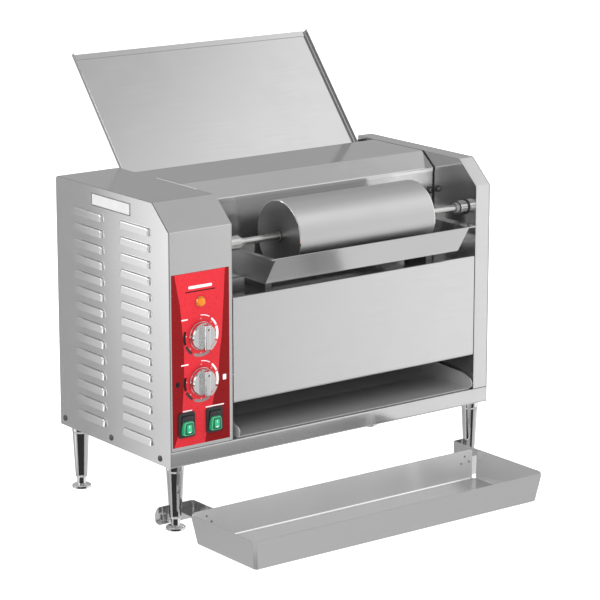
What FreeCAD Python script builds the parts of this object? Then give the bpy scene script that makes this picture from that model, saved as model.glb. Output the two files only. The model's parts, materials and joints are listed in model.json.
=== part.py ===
import FreeCAD, Part
import math
import os
import re
import Sketcher

# Vertical contact bun toaster with a butter roller: a sheet-steel case on four legs, a control
# tower on its left, a bun chute that feeds a heated lane from above, a roller that turns in a
# butter pan, a landing tray in the outlet and a catch tray that hooks round the front legs.
#
# Lengths are millimetres. Every outline is drawn from the case's left, front and counter planes
# (x from the left face, y from the front face, z from the counter). Each sub-part's Placement then
# carries it to the part's own origin, the middle of the four feet on the counter, with +Z up, +X to
# the right and +Y to the rear.

SIZES = {
    # case
    "body_w": 640, "body_d": 316, "under_z": 105, "top_z": 515,
    "chamfer_z": 475, "chamfer_y": 43.8, "tower_w": 118, "narrow_w": 30,
    "gauge": 1.2, "bend_r": 1.5, "sill_h": 26, "slit": 0.5,
    # recess, hood and outlet
    "outlet_top": 190, "shelf_z": 359, "wall_y": 108, "slope_z": 490.5,
    "slope_top_y": 138.5, "slot_y": 269, "panel_gap": 1.7, "hood_gap": 2.4,
    # legs and feet
    "leg_x": 21, "leg_front_y": 19.3, "leg_rear_y": 290, "leg_top_r": 14, "leg_tip_r": 9.6,
    "leg_foot_z": 18, "foot_r": 15.6, "stem_r": 5.25, "fit": 0.05,
    # butter roller and its shaft
    "roller_y": 28, "roller_z": 437.2, "roller_r": 57.2, "roller_x": 228, "roller_len": 271.5,
    "roller_wall": 2.5, "boss_r": 8, "boss_w": 3, "shaft_x": 88, "shaft_len": 520, "shaft_r": 5.5,
    "sleeve_r": 11.5, "sleeve_len": 38, "sleeve_end_x": 150, "seal_x": 587, "seal_w": 6.5,
    "bush_r": 11, "bush_w": 16,
    # butter pan
    "pan_x": 171, "pan_w": 389, "pan_top": 420, "pan_floor": 376,
    "pan_front_top": -42, "pan_front_foot": -14, "pan_rear_foot": 79, "pan_rear_top": 88,
    "pan_left_flange": 8, "pan_right_flange": 17.5,
    "rest_left_x": 196, "rest_right_x": 521, "rest_y": 20, "rest_w": 12, "rest_d": 56,
    # chute
    "chute_x": 120, "chute_w": 480, "chute_lean": 39.5, "chute_len": 259, "chute_foot_z": 480,
    "chute_plane_y": 318, "chute_flange": 9, "hem_h": 10, "hem_inset": 6,
    "guide_y": 276, "guide_w": 9.5, "guide_d": 14, "guide_h": 5.5,
    # conveyor
    "belt_y": 210, "belt_low_z": 215, "belt_high_z": 440, "pulley_r": 26, "axle_r": 7,
    "belt_t": 1.5, "motor_z": 320, "drive_wheel_r": 24, "motor_wheel_r": 16,
    "belt_inset": 10, "axle_x": 86, "axle_len": 538, "pulley_start": 48, "pulley_pitch": 152.3,
    "pulley_w": 12, "bearing_r": 15, "bearing_w": 8, "wheel_x": 88, "wheel_hub": 5, "wheel_t": 4,
    "wheel_clear": 0.4, "motor_spindle_x": 58, "motor_spindle_r": 5, "motor_box_x": 52,
    "motor_can_r": 26,
    # heating
    "platen_y": 276, "platen_t": 10, "platen_z": 210, "platen_h": 245, "element_r": 4.5,
    "shield_y": 302, "shield_z": 200, "shield_h": 262,
    # landing tray
    "tray_x": 128, "tray_w": 476.4, "tray_z": 131.6, "tray_fold_y": 109, "tray_rear_y": 226,
    # catch tray
    "catch_x": 5, "catch_w": 558.5, "catch_front_y": -214, "catch_rear_y": -59.5, "catch_h": 48,
    "catch_flare": 8, "gap_low": 6.5, "gap_high": 7.5, "gap_round": 5.5, "hook_y": 34, "hook_z": 6, "hook_h": 29, "hook_gauge": 2,
    "arm_left_x": 64, "arm_left_reach": 70, "arm_right_inset": 41, "arm_right_reach": 33,
    # controls
    "dial_x": 58.5, "heat_z": 308.5, "speed_z": 236, "pilot_z": 362.4, "knob_r": 21.8,
    "knob_depth": 20, "switch_w": 30.5, "switch_h": 40, "switch_z": 151.5,
    "left_switch_x": 14.5, "right_switch_x": 66.3,
    "film_x": 4.8, "film_z": 137, "film_w": 107.2, "film_h": 272.5, "film_t": 0.3,
    # louvres, vent slits and the cord's gland
    "louvre_front_y": 49, "louvre_rear_y": 180.5, "louvre_low_z": 131.5, "louvre_pitch": 25.5,
    "louvre_h": 12.5, "louvre_top_out": 3.4, "louvre_out": 4.8, "louvre_len": 80, "louvre_shoulder_r": 5, "louvre_rim_r": 3.2,
    "vent_x": 28, "vent_z": 330, "vent_pitch": 14, "vent_w": 64, "vent_h": 5,
    "gland_x": 60, "gland_z": 165,
}

LOUVRE_ROWS = 14
VENT_ROWS = 7
BELT_WHEELS = 4

doc = FreeCAD.newDocument("bun_toaster")
sheet = doc.addObject("Spreadsheet::Sheet", "sizes")
for row, (alias, number) in enumerate(SIZES.items(), start=1):
    sheet.set("A%d" % row, alias.replace("_", " "))
    sheet.set("B%d" % row, str(number))
    sheet.setAlias("B%d" % row, alias)
doc.recompute()

PARTS = []
X_AXIS = FreeCAD.Vector(1, 0, 0)
Y_AXIS = FreeCAD.Vector(0, 1, 0)
Z_AXIS = FreeCAD.Vector(0, 0, 1)


# ---------------------------------------------------------------------------------------------
# The sheet's values in formulas
# ---------------------------------------------------------------------------------------------

def formula(text):
    """A formula in the sheet's words, such as body_w / 2, in the form that objects are bound to."""
    def qualify(match):
        word = match.group()
        return "sizes." + word if word in SIZES else word
    return re.sub(r"[a-z_]+", qualify, str(text))


def size(text):
    """The number that a formula gives now."""
    return float(sheet.evalExpression(formula(text)))


def bind(target, **formulas):
    for name, text in formulas.items():
        target.setExpression(name, formula(text))


def place(target, x="0", y="0", z="0", turn=None):
    """Carry a sub-part from the case's corner to the part's origin, after an optional turn."""
    if turn is not None:
        target.Placement = FreeCAD.Placement(FreeCAD.Vector(), turn)
    target.setExpression("Placement.Base.x", formula("%s - body_w / 2" % x))
    target.setExpression("Placement.Base.y", formula("%s - (leg_front_y + leg_rear_y) / 2" % y))
    target.setExpression("Placement.Base.z", formula(z))
    return target


def keep(target, name):
    """Name a finished sub-part and list it for export."""
    target.Label = name
    PARTS.append(target)
    return target


# ---------------------------------------------------------------------------------------------
# Sketches and features of a body
# ---------------------------------------------------------------------------------------------

def new_body(name):
    return doc.addObject("PartDesign::Body", name)


def new_sketch(body, role, lift="0"):
    """An empty sketch on one of the body's own origin planes, lifted along the plane's normal."""
    sketch = body.newObject("Sketcher::SketchObject", body.Name + "_sketch")
    plane = [item for item in body.Origin.OriginFeatures if item.Role == role][0]
    sketch.AttachmentSupport = [(plane, "")]
    sketch.MapMode = "FlatFace"
    sketch.setExpression("AttachmentOffset.Base.z", formula(lift))
    return sketch


def hold(sketch, kind, geometry, point, text):
    """Hold a sketch point at a distance from the sketch's origin that the sheet sets."""
    index = sketch.addConstraint(Sketcher.Constraint(kind, -1, 1, geometry, point, size(text)))
    sketch.setExpression("Constraints[%d]" % index, formula(text))


def polygon(sketch, corners):
    """A closed outline whose corners are pairs of formulas."""
    first = sketch.GeometryCount
    points = [FreeCAD.Vector(size(across), size(up), 0) for across, up in corners]
    for start, end in zip(points, points[1:] + points[:1]):
        sketch.addGeometry(Part.LineSegment(start, end))
    for index, (across, up) in enumerate(corners):
        following = (index + 1) % len(corners)
        sketch.addConstraint(
            Sketcher.Constraint("Coincident", first + index, 2, first + following, 1))
        hold(sketch, "DistanceX", first + index, 1, across)
        hold(sketch, "DistanceY", first + index, 1, up)
    return sketch


def rectangle(sketch, left, low, width, height):
    right = "%s + %s" % (left, width)
    high = "%s + %s" % (low, height)
    return polygon(sketch, [(left, low), (right, low), (right, high), (left, high)])


def circle(sketch, across, up, radius):
    centre = FreeCAD.Vector(size(across), size(up), 0)
    index = sketch.addGeometry(Part.Circle(centre, FreeCAD.Vector(0, 0, 1), size(radius)))
    hold(sketch, "DistanceX", index, 3, across)
    hold(sketch, "DistanceY", index, 3, up)
    radius_index = sketch.addConstraint(Sketcher.Constraint("Radius", index, size(radius)))
    sketch.setExpression("Constraints[%d]" % radius_index, formula(radius))
    return sketch


def sheet_section(sketch, path, side=1, gauge="gauge", bend="bend_r"):
    """The section of a folded sheet. The path is one face of the metal, which lies on the left of
    the path's direction for side 1 and on its right for side -1. Bends keep the same centre on both
    faces."""
    thick = size(gauge)
    inner = size(bend)
    points = [FreeCAD.Vector(size(across), size(up), 0) for across, up in path]
    runs = [(b - a).normalize() for a, b in zip(points, points[1:])]
    normals = [FreeCAD.Vector(-run.y, run.x, 0) * side for run in runs]
    face = [(points[0],)]
    back = [(points[0] + normals[0] * thick,)]
    for index in range(1, len(points) - 1):
        before, after = runs[index - 1], runs[index]
        turn = math.atan2(before.x * after.y - before.y * after.x, before.dot(after))
        radius = inner + thick if turn * side > 0 else inner
        reach = radius * math.tan(abs(turn) / 2)
        bisector = (normals[index - 1] + normals[index]).normalize()
        toward = 1 if turn * side > 0 else -1
        centre = points[index] + bisector * toward * radius / math.cos(turn / 2)
        start = points[index] - before * reach
        end = points[index] + after * reach
        middle = centre - bisector * toward * radius
        face.append((start, middle, end))
        back.append((start + normals[index - 1] * thick, middle + bisector * thick,
                     end + normals[index] * thick))
    face.append((points[-1],))
    back.append((points[-1] + normals[-1] * thick,))
    around = face + [tuple(reversed(corner)) for corner in reversed(back)]
    for index, corner in enumerate(around):
        if len(corner) == 3:
            sketch.addGeometry(Part.Arc(*corner))
        following = around[(index + 1) % len(around)]
        sketch.addGeometry(Part.LineSegment(corner[-1], following[0]))
    return sketch


def pad(body, sketch, length, reverse=False):
    feature = body.newObject("PartDesign::Pad", body.Name + "_pad")
    feature.Profile = sketch
    feature.Reversed = reverse
    bind(feature, Length=length)
    doc.recompute()
    return feature


def pocket(body, sketch, depth, reverse=False):
    """Cut a sketch into the body, and stop if the cut takes nothing away."""
    before = body.Shape.Volume
    feature = body.newObject("PartDesign::Pocket", body.Name + "_pocket")
    feature.Profile = sketch
    feature.Reversed = reverse
    bind(feature, Length=depth)
    doc.recompute()
    if not body.Shape.Volume < before - 1e-3:
        raise RuntimeError("a pocket of %s cuts nothing" % body.Name)
    return feature


def revolve(body, sketch, axis="V_Axis"):
    feature = body.newObject("PartDesign::Revolution", body.Name + "_revolution")
    feature.Profile = sketch
    feature.ReferenceAxis = (sketch, [axis])
    feature.Angle = 360
    doc.recompute()
    return feature


def round_edges(body, radius, chosen):
    """Round the edges of the body's tip that a test picks out."""
    base = body.Tip
    names = ["Edge%d" % (number + 1) for number, edge in enumerate(base.Shape.Edges) if chosen(edge)]
    if not names:
        raise RuntimeError("no edge of %s to round" % body.Name)
    feature = body.newObject("PartDesign::Fillet", body.Name + "_fillet")
    feature.Base = (base, names)
    bind(feature, Radius=radius)
    doc.recompute()
    return feature


def edge_runs(edge, direction):
    """True for a straight edge parallel to a direction."""
    if edge.Curve.TypeId != "Part::GeomLine":
        return False
    return abs(edge.tangentAt(edge.FirstParameter).dot(direction)) > 0.999


def extrusion(name, role, draw, length, x="0", y="0", z="0", reverse=False):
    """A body of one pad: draw(sketch) draws its outline."""
    body = new_body(name)
    sketch = new_sketch(body, role)
    draw(sketch)
    pad(body, sketch, length, reverse)
    place(body, x, y, z)
    return body


def turned(name, profile, x="0", y="0", z="0", along=None):
    """A turned piece: its half profile is pairs of radius and height, on its own axis, which is
    then laid along a direction."""
    body = new_body(name)
    sketch = polygon(new_sketch(body, "XZ_Plane"), profile)
    revolve(body, sketch)
    turn = FreeCAD.Rotation(Z_AXIS, along) if along is not None else None
    place(body, x, y, z, turn)
    return body


def block(name, x, y, z, width, depth, height):
    """A plain rectangular piece."""
    box = doc.addObject("Part::Box", name)
    bind(box, Length=width, Width=depth, Height=height)
    place(box, x, y, z)
    return box


def rod(name, x, y, z, radius, length, along=X_AXIS):
    """A plain round bar."""
    bar = doc.addObject("Part::Cylinder", name)
    bind(bar, Radius=radius, Height=length)
    place(bar, x, y, z, FreeCAD.Rotation(Z_AXIS, along))
    return bar


def cut(name, base, tools):
    """Take tools away from a base, and stop if they take nothing."""
    doc.recompute()
    union = tools[0]
    if len(tools) > 1:
        union = doc.addObject("Part::MultiFuse", name + "_tools")
        union.Shapes = tools
    result = doc.addObject("Part::Cut", name)
    result.Base = base
    result.Tool = union
    doc.recompute()
    if not result.Shape.Volume < base.Shape.Volume - 1e-3:
        raise RuntimeError("the cut of %s takes nothing away" % name)
    return result


def fuse(name, pieces):
    result = doc.addObject("Part::MultiFuse", name)
    result.Shapes = pieces
    result.Refine = True
    doc.recompute()
    return result


def group(name, pieces):
    """Separate solids that share one node."""
    result = doc.addObject("Part::Compound", name)
    result.Links = pieces
    doc.recompute()
    return result


# ---------------------------------------------------------------------------------------------
# Case
# ---------------------------------------------------------------------------------------------

def base_pan():
    """The folded floor of the case. Its front flange is the sill, its rear flange carries the rear
    panel."""
    def section(sketch):
        sheet_section(sketch, [
            ("12", "under_z + sill_h"), ("0", "under_z + sill_h"), ("0", "under_z"),
            ("body_d - gauge", "under_z"), ("body_d - gauge", "under_z + sill_h")])
    body = extrusion("base_pan", "YZ_Plane", section, "body_w - 2 * gauge", x="gauge")
    keep(body, "base_pan")


def case_side(sketch, low):
    """The side view of the case, with its sloped front top edge."""
    return polygon(sketch, [
        ("0", low), ("body_d", low), ("body_d", "top_z"), ("chamfer_y", "top_z"), ("0", "chamfer_z")])


def round_rear_top(plate):
    """Round the rear upper corner of a side panel."""
    round_edges(plate, "5", lambda edge: edge_runs(edge, X_AXIS)
                and edge.CenterOfMass.y > size("body_d") - 1
                and edge.CenterOfMass.z > size("top_z") - 1)


def louvre_solid(skin):
    """A pressed louvre as a solid, a skin's thickness inside its outer faces: a raised hood with a
    nearly flat face, rounded at its ends and open below. It stands on the plane x = 0."""
    high = size("louvre_h") - skin
    root = size("gauge") if skin else 0
    profile = Part.makePolygon([
        FreeCAD.Vector(root, skin, high), FreeCAD.Vector(skin - size("louvre_top_out"), skin, high),
        FreeCAD.Vector(skin - size("louvre_out"), skin, 0), FreeCAD.Vector(root, skin, 0),
        FreeCAD.Vector(root, skin, high)])
    solid = Part.Face(profile).extrude(FreeCAD.Vector(0, size("louvre_len") - 2 * skin, 0))
    shoulders = [edge for edge in solid.Edges
                 if edge_runs(edge, X_AXIS) and edge.CenterOfMass.z > high - 0.1]
    solid = solid.makeFillet(size("louvre_shoulder_r") - skin, shoulders)
    rim = [edge for edge in solid.Edges
           if edge.BoundBox.XMax < -1 and not (edge_runs(edge, Y_AXIS) and edge.CenterOfMass.z < 0.1)]
    return solid.makeFillet(size("louvre_rim_r") - skin, rim)


def left_side_panel():
    """The outer wall of the control tower, with two columns of louvres pressed out of it."""
    plate = new_body("left_side_plate")
    pad(plate, case_side(new_sketch(plate, "YZ_Plane"), "under_z"), "gauge")
    round_rear_top(plate)
    outer = louvre_solid(0)
    inner = louvre_solid(size("gauge"))
    outers, inners = [], []
    for column_y in (size("louvre_front_y"), size("louvre_rear_y")):
        for row in range(LOUVRE_ROWS):
            spot = FreeCAD.Vector(0, column_y, size("louvre_low_z") + row * size("louvre_pitch"))
            outers.append(outer.translated(spot))
            inners.append(inner.translated(spot))
    panel = doc.addObject("Part::Feature", "left_side_panel")
    panel.Shape = plate.Shape.fuse(outers).cut(inners).removeSplitter()
    place(panel)
    keep(panel, "left_side_panel")


def right_side_panel():
    """The plain outer wall of the narrow tower."""
    body = extrusion("right_side_panel", "YZ_Plane",
                     lambda sketch: case_side(sketch, "under_z"), "gauge", x="body_w - gauge")
    round_rear_top(body)
    keep(body, "right_side_panel")


def tower_section(sketch):
    """Front, sloped edge and top of a tower in one folded sheet, the metal inside the path."""
    sheet_section(sketch, [
        ("0", "under_z + sill_h + slit"), ("0", "chamfer_z"), ("chamfer_y", "top_z"),
        ("body_d - gauge", "top_z")], side=-1)


def left_tower_shell():
    """The control tower's front and top, with the cut-outs behind the controls."""
    body = extrusion("left_tower_shell", "YZ_Plane", tower_section, "tower_w - 2 * gauge", x="gauge")
    holes = new_sketch(body, "XZ_Plane")
    circle(holes, "dial_x - gauge", "heat_z", "6")
    circle(holes, "dial_x - gauge", "speed_z", "6")
    for left in ("left_switch_x", "right_switch_x"):
        rectangle(holes, left + " - gauge + 2", "switch_z + 2", "switch_w - 4", "switch_h - 4")
    pocket(body, holes, "3", reverse=False)
    keep(body, "left_tower_shell")


def right_tower_shell():
    body = extrusion("right_tower_shell", "YZ_Plane", tower_section, "narrow_w - 2 * gauge",
                     x="body_w - narrow_w + gauge")
    keep(body, "right_tower_shell")


def inner_wall(name, start, holes):
    """The wall of a tower on the recess side, down to the base pan's floor, with its lower rear
    corner cut off to clear the pan's bend."""
    body = new_body(name)
    outline = new_sketch(body, "YZ_Plane")
    polygon(outline, [
        ("0", "under_z + sill_h + slit"), ("13", "under_z + sill_h + slit"), ("13", "under_z + gauge"),
        ("body_d - 2 * gauge - 2", "under_z + gauge"), ("body_d - 2 * gauge", "under_z + gauge + 2"),
        ("body_d - 2 * gauge", "top_z"), ("chamfer_y", "top_z"), ("0", "chamfer_z")])
    pad(body, outline, "gauge")
    for across, up, radius in holes:
        pocket(body, circle(new_sketch(body, "YZ_Plane"), across, up, radius), "gauge + 1", reverse=True)
    place(body, x=start)
    keep(body, name)


def inner_walls():
    axles = [("belt_y", "belt_low_z", "axle_r + 2"), ("belt_y", "belt_high_z", "axle_r + 2")]
    inner_wall("left_inner_wall", "tower_w - gauge", axles + [("roller_y", "roller_z", "sleeve_r + 1")])
    inner_wall("right_inner_wall", "body_w - narrow_w", axles)


def rear_panel():
    """The removable back, below the chute, with the cord gland's hole and vent slits."""
    def outline(sketch):
        rectangle(sketch, "gauge", "under_z + sill_h + slit", "body_w - 2 * gauge",
                  "top_z - under_z - sill_h - slit - 7.5")
    body = extrusion("rear_panel", "XZ_Plane", outline, "gauge", y="body_d - gauge", reverse=True)
    pocket(body, circle(new_sketch(body, "XZ_Plane"), "gland_x", "gland_z", "10"), "gauge + 1")
    vents = new_sketch(body, "XZ_Plane")
    for row in range(VENT_ROWS):
        rectangle(vents, "vent_x", "vent_z + %d * vent_pitch" % row, "vent_w", "vent_h")
    pocket(body, vents, "gauge + 1")
    keep(body, "rear_panel")


def hood():
    """The sheet over the conveyor: down into the feed slot, flat on top and sloped at the front."""
    def section(sketch):
        sheet_section(sketch, [
            ("slot_y - 9", "top_z - 24"), ("slot_y", "top_z"), ("slope_top_y", "top_z"),
            ("wall_y", "slope_z"), ("wall_y", "slope_z - 7")])
    body = extrusion("hood", "YZ_Plane", section, "body_w - tower_w - narrow_w - hood_gap",
                     x="tower_w")
    keep(body, "hood")


def recess_wall():
    """The upright wall behind the butter pan."""
    body = extrusion("recess_wall", "XZ_Plane", lambda sketch: rectangle(
        sketch, "tower_w", "shelf_z", "body_w - tower_w - narrow_w - hood_gap",
        "slope_z - shelf_z - 2"),
        "gauge", y="wall_y + gauge", reverse=True)
    keep(body, "recess_wall")


def front_panel():
    """The front below the pan, folded back over the top as the shelf that the pan stands on."""
    def section(sketch):
        sheet_section(sketch, [
            ("14", "outlet_top"), ("0", "outlet_top"), ("0", "shelf_z"), ("wall_y - 1", "shelf_z")],
            side=-1)
    body = extrusion("front_panel", "YZ_Plane", section,
                     "body_w - tower_w - narrow_w - 2 * panel_gap", x="tower_w + panel_gap")
    keep(body, "front_panel")


# ---------------------------------------------------------------------------------------------
# Legs and feet
# ---------------------------------------------------------------------------------------------

LEG_PLACES = {
    "front_left": ("leg_x", "leg_front_y"), "front_right": ("body_w - leg_x", "leg_front_y"),
    "rear_left": ("leg_x", "leg_rear_y"), "rear_right": ("body_w - leg_x", "leg_rear_y"),
}


def legs_and_feet():
    """A tapered leg under each corner, bored for the stem of a foot that screws in and out."""
    for corner, (x, y) in LEG_PLACES.items():
        leg = turned("leg_" + corner, [
            ("stem_r + fit", "leg_foot_z"), ("leg_tip_r - 1", "leg_foot_z"),
            ("leg_tip_r", "leg_foot_z + 1.5"), ("leg_top_r - 0.6", "under_z - 12"),
            ("leg_top_r", "under_z - 8"), ("leg_top_r", "under_z"), ("0", "under_z"),
            ("0", "leg_foot_z + 50"), ("stem_r + fit", "leg_foot_z + 47")], x=x, y=y)
        keep(leg, "leg_" + corner)
        foot = turned("foot_" + corner, [
            ("0", "0"), ("foot_r - 0.8", "0"), ("foot_r", "1"), ("foot_r", "4"),
            ("foot_r - 2", "5.5"), ("stem_r + 2", "7.5"), ("stem_r + 2", "leg_foot_z - 0.3"),
            ("stem_r", "leg_foot_z - 0.3"), ("stem_r", "leg_foot_z + 42"), ("0", "leg_foot_z + 44")],
            x=x, y=y)
        keep(foot, "foot_" + corner)


# ---------------------------------------------------------------------------------------------
# Butter roller and pan
# ---------------------------------------------------------------------------------------------

def butter_roller():
    """A hollow drum with flat ends, a rounded rim and a boss round the shaft at each end. Its axis
    runs across the machine."""
    inside = "roller_r - roller_wall"
    far_inside = "roller_len - roller_wall"
    roller = turned("butter_roller", [
        ("shaft_r", "-boss_w"), ("boss_r", "-boss_w"), ("boss_r", "0"), ("roller_r - 1.5", "0"),
        ("roller_r - 0.4", "0.4"), ("roller_r", "1.5"), ("roller_r", "roller_len - 1.5"),
        ("roller_r - 0.4", "roller_len - 0.4"), ("roller_r - 1.5", "roller_len"),
        ("boss_r", "roller_len"), ("boss_r", "roller_len + boss_w"),
        ("shaft_r", "roller_len + boss_w"), ("shaft_r", far_inside), (inside, far_inside),
        (inside, "roller_wall"), ("shaft_r", "roller_wall")],
        x="roller_x", y="roller_y", z="roller_z", along=X_AXIS)
    keep(roller, "butter_roller")


def roller_line():
    """The shaft through the roller, from the gearmotor to the bush on the narrow tower."""
    keep(rod("roller_shaft", "shaft_x", "roller_y", "roller_z", "shaft_r", "shaft_len"),
         "roller_shaft")
    coupling = turned("drive_coupling", [
        ("shaft_r", "0"), ("sleeve_r - 0.8", "0"), ("sleeve_r", "0.8"),
        ("sleeve_r", "sleeve_len - 0.8"), ("sleeve_r - 0.8", "sleeve_len"), ("7.5", "sleeve_len"),
        ("7.5", "sleeve_len + 6"), ("shaft_r", "sleeve_len + 6")],
        x="sleeve_end_x - sleeve_len", y="roller_y", z="roller_z", along=X_AXIS)
    keep(coupling, "drive_coupling")
    seal = turned("seal_ring", [
        ("shaft_r", "0"), ("8", "0"), ("8.5", "0.8"), ("8.5", "seal_w - 0.8"), ("8", "seal_w"),
        ("shaft_r", "seal_w")],
        x="seal_x", y="roller_y", z="roller_z", along=X_AXIS)
    keep(seal, "seal_ring")
    bush = turned("roller_bush", [
        ("shaft_r + fit", "0"), ("bush_r - 0.8", "0"), ("bush_r", "0.8"), ("bush_r", "bush_w"),
        ("shaft_r + fit", "bush_w")],
        x="body_w - narrow_w - bush_w", y="roller_y", z="roller_z", along=X_AXIS)
    keep(bush, "roller_bush")


def butter_pan():
    """A trough with sloped long walls, upright ends and a flange turned outward at each end."""
    body = new_body("butter_pan")
    trough = new_sketch(body, "YZ_Plane")
    sheet_section(trough, [
        ("pan_front_top", "pan_top"), ("pan_front_foot", "pan_floor"),
        ("pan_rear_foot", "pan_floor"), ("pan_rear_top", "pan_top")])
    pad(body, trough, "pan_w")
    for lift in ("0", "pan_w - gauge"):
        end = new_sketch(body, "YZ_Plane", lift)
        polygon(end, [
            ("pan_front_top + 0.4", "pan_top"), ("pan_front_foot + 0.4", "pan_floor + 0.6"),
            ("pan_rear_foot - 0.4", "pan_floor + 0.6"), ("pan_rear_top - 0.4", "pan_top")])
        pad(body, end, "gauge")
    for lift, width in (("-pan_left_flange", "pan_left_flange + gauge"),
                        ("pan_w - gauge", "pan_right_flange + gauge")):
        flange = new_sketch(body, "YZ_Plane", lift)
        rectangle(flange, "pan_front_top + 0.4", "pan_top - gauge",
                  "pan_rear_top - pan_front_top - 0.8", "gauge")
        pad(body, flange, width)
    place(body, x="pan_x")
    keep(body, "butter_pan")


def pan_rests():
    """Two rails on the shelf that the pan stands on."""
    rails = [block("pan_rest_" + side, "rest_%s_x" % side, "rest_y", "shelf_z", "rest_w", "rest_d",
                   "pan_floor - shelf_z") for side in ("left", "right")]
    keep(group("pan_rests", rails), "pan_rests")


# ---------------------------------------------------------------------------------------------
# Chute, slide and landing tray
# ---------------------------------------------------------------------------------------------

def bun_chute():
    """The leaning feed sheet. Its section has a flange turned forward at each side, and it stands
    with its foot inside the feed slot."""
    body = new_body("bun_chute")
    section = new_sketch(body, "XY_Plane")
    sheet_section(section, [
        ("0", "-chute_flange"), ("0", "0"), ("chute_w", "0"), ("chute_w", "-chute_flange")], side=-1)
    pad(body, section, "chute_len")
    hem = new_sketch(body, "XY_Plane", "chute_len - hem_h")
    rectangle(hem, "hem_inset", "-2 * gauge - 0.2", "chute_w - 2 * hem_inset", "gauge + 0.2")
    pad(body, hem, "hem_h")
    lean = FreeCAD.Rotation(X_AXIS, -size("chute_lean"))
    place(body, x="chute_x", turn=lean, z="chute_foot_z",
          y="chute_plane_y - (top_z - chute_foot_z) * tan(chute_lean)")
    keep(body, "bun_chute")


def chute_guides():
    """Angles at the ends of the feed slot that the chute's foot stands in."""
    guides = [block("chute_guide_" + side, x, "guide_y", "chute_foot_z - guide_h - 0.5", "guide_w",
                    "guide_d", "guide_h")
              for side, x in (("left", "tower_w"), ("right", "body_w - narrow_w - guide_w"))]
    keep(group("chute_guides", guides), "chute_guides")


def lower_slide():
    """The curved sheet that turns a toasted bun forward under the conveyor."""
    def section(sketch):
        sheet_section(sketch, [
            ("290", "208"), ("284", "186"), ("262", "172"), ("232", "163")])
    body = extrusion("lower_slide", "YZ_Plane", section, "body_w - tower_w - narrow_w", x="tower_w")
    keep(body, "lower_slide")


def landing_tray():
    """The tray in the outlet: flat in front, rising to the rear, with a low wall at each side. It
    draws forward over the sill."""
    body = new_body("landing_tray")
    floor = new_sketch(body, "YZ_Plane")
    sheet_section(floor, [
        ("5", "tray_z"), ("tray_fold_y", "tray_z"), ("tray_rear_y", "tray_z + 26")])
    pad(body, floor, "tray_w")
    for lift in ("0", "tray_w - gauge"):
        wall = new_sketch(body, "YZ_Plane", lift)
        polygon(wall, [
            ("4", "tray_z"), ("-2", "tray_z + 5"), ("-4.5", "tray_z + 12"), ("1", "tray_z + 18.5"),
            ("20", "tray_z + 25"), ("tray_rear_y", "tray_z + 36"), ("tray_rear_y", "tray_z + 26.6"),
            ("tray_fold_y", "tray_z + 0.6"), ("40", "tray_z")])
        pad(body, wall, "gauge")
    place(body, x="tray_x")
    keep(body, "landing_tray")


# ---------------------------------------------------------------------------------------------
# Catch tray
# ---------------------------------------------------------------------------------------------

def tray_block(body, kind, floor, skin):
    """A block that widens by the catch tray's flare up to its rim, a skin inside the tray's outer
    faces: added to the body, or taken away from it."""
    wedge = body.newObject("PartDesign::%sWedge" % kind, "%s_block" % kind.lower())
    foot = "(%s) - (%s) * catch_flare / catch_h" % (skin, floor)
    rim = "(%s) - catch_flare" % skin
    bind(wedge, Ymin=floor, Ymax="catch_h",
         Xmin=foot, Xmax="catch_w - (%s)" % foot, X2min=rim, X2max="catch_w - (%s)" % rim,
         Zmin="-catch_rear_y + " + foot, Zmax="-catch_front_y - (%s)" % foot,
         Z2min="-catch_rear_y + " + rim, Z2max="-catch_front_y - (%s)" % rim)
    wedge.Placement = FreeCAD.Placement(FreeCAD.Vector(), FreeCAD.Rotation(X_AXIS, 90))
    doc.recompute()


def corner_gap(number, x, y):
    """The gap between two walls at a corner of the catch tray, across the corner. It widens upward
    and rounds off both walls' upper corners."""
    body = new_body("corner_gap_%d" % number)
    sketch = new_sketch(body, "XZ_Plane", "-gap_low / 2 - bend_r")
    low, high, round_r = size("gap_low") / 2, size("gap_high") / 2, size("gap_round")
    shoulder = size("catch_h") - round_r
    lean = (high - low) / shoulder
    foot = low - lean * 2
    points = [FreeCAD.Vector(side * across, up, 0) for side, across, up in (
        (-1, foot, -2), (-1, high, shoulder), (-1, high + round_r, shoulder + round_r),
        (-1, high + round_r, shoulder + round_r + 2), (1, high + round_r, shoulder + round_r + 2),
        (1, high + round_r, shoulder + round_r), (1, high, shoulder), (1, foot, -2))]
    bulge = round_r * (1 - math.sqrt(0.5))
    for index, start in enumerate(points):
        end = points[(index + 1) % len(points)]
        if index in (1, 5):
            side = -1 if index == 1 else 1
            middle = FreeCAD.Vector(side * (high + bulge), shoulder + round_r - bulge, 0)
            sketch.addGeometry(Part.Arc(start, middle, end))
        else:
            sketch.addGeometry(Part.LineSegment(start, end))
    pad(body, sketch, "30")
    heading = math.degrees(math.atan2(-1 if y == "catch_front_y" else 1, -1 if x == "catch_x" else 1))
    return place(body, x, y, "0", FreeCAD.Rotation(Z_AXIS, heading + 90))


def catch_tray():
    """A shallow tray folded from one sheet. Its four walls lean outward and stay open at the
    corners, where a gap runs up between them."""
    body = new_body("catch_sheet")
    tray_block(body, "Additive", "0", "0")
    round_edges(body, "bend_r + gauge", lambda edge: edge.BoundBox.ZMax < 0.1)
    tray_block(body, "Subtractive", "gauge", "gauge * 1.014")
    round_edges(body, "bend_r", lambda edge: abs(edge.CenterOfMass.z - size("gauge")) < 0.05)
    place(body, x="catch_x")
    corners = [(x, y) for x in ("catch_x", "catch_x + catch_w") for y in ("catch_front_y", "catch_rear_y")]
    gaps = [corner_gap(number, x, y) for number, (x, y) in enumerate(corners, start=1)]
    keep(cut("catch_tray", body, gaps), "catch_tray")


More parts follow.
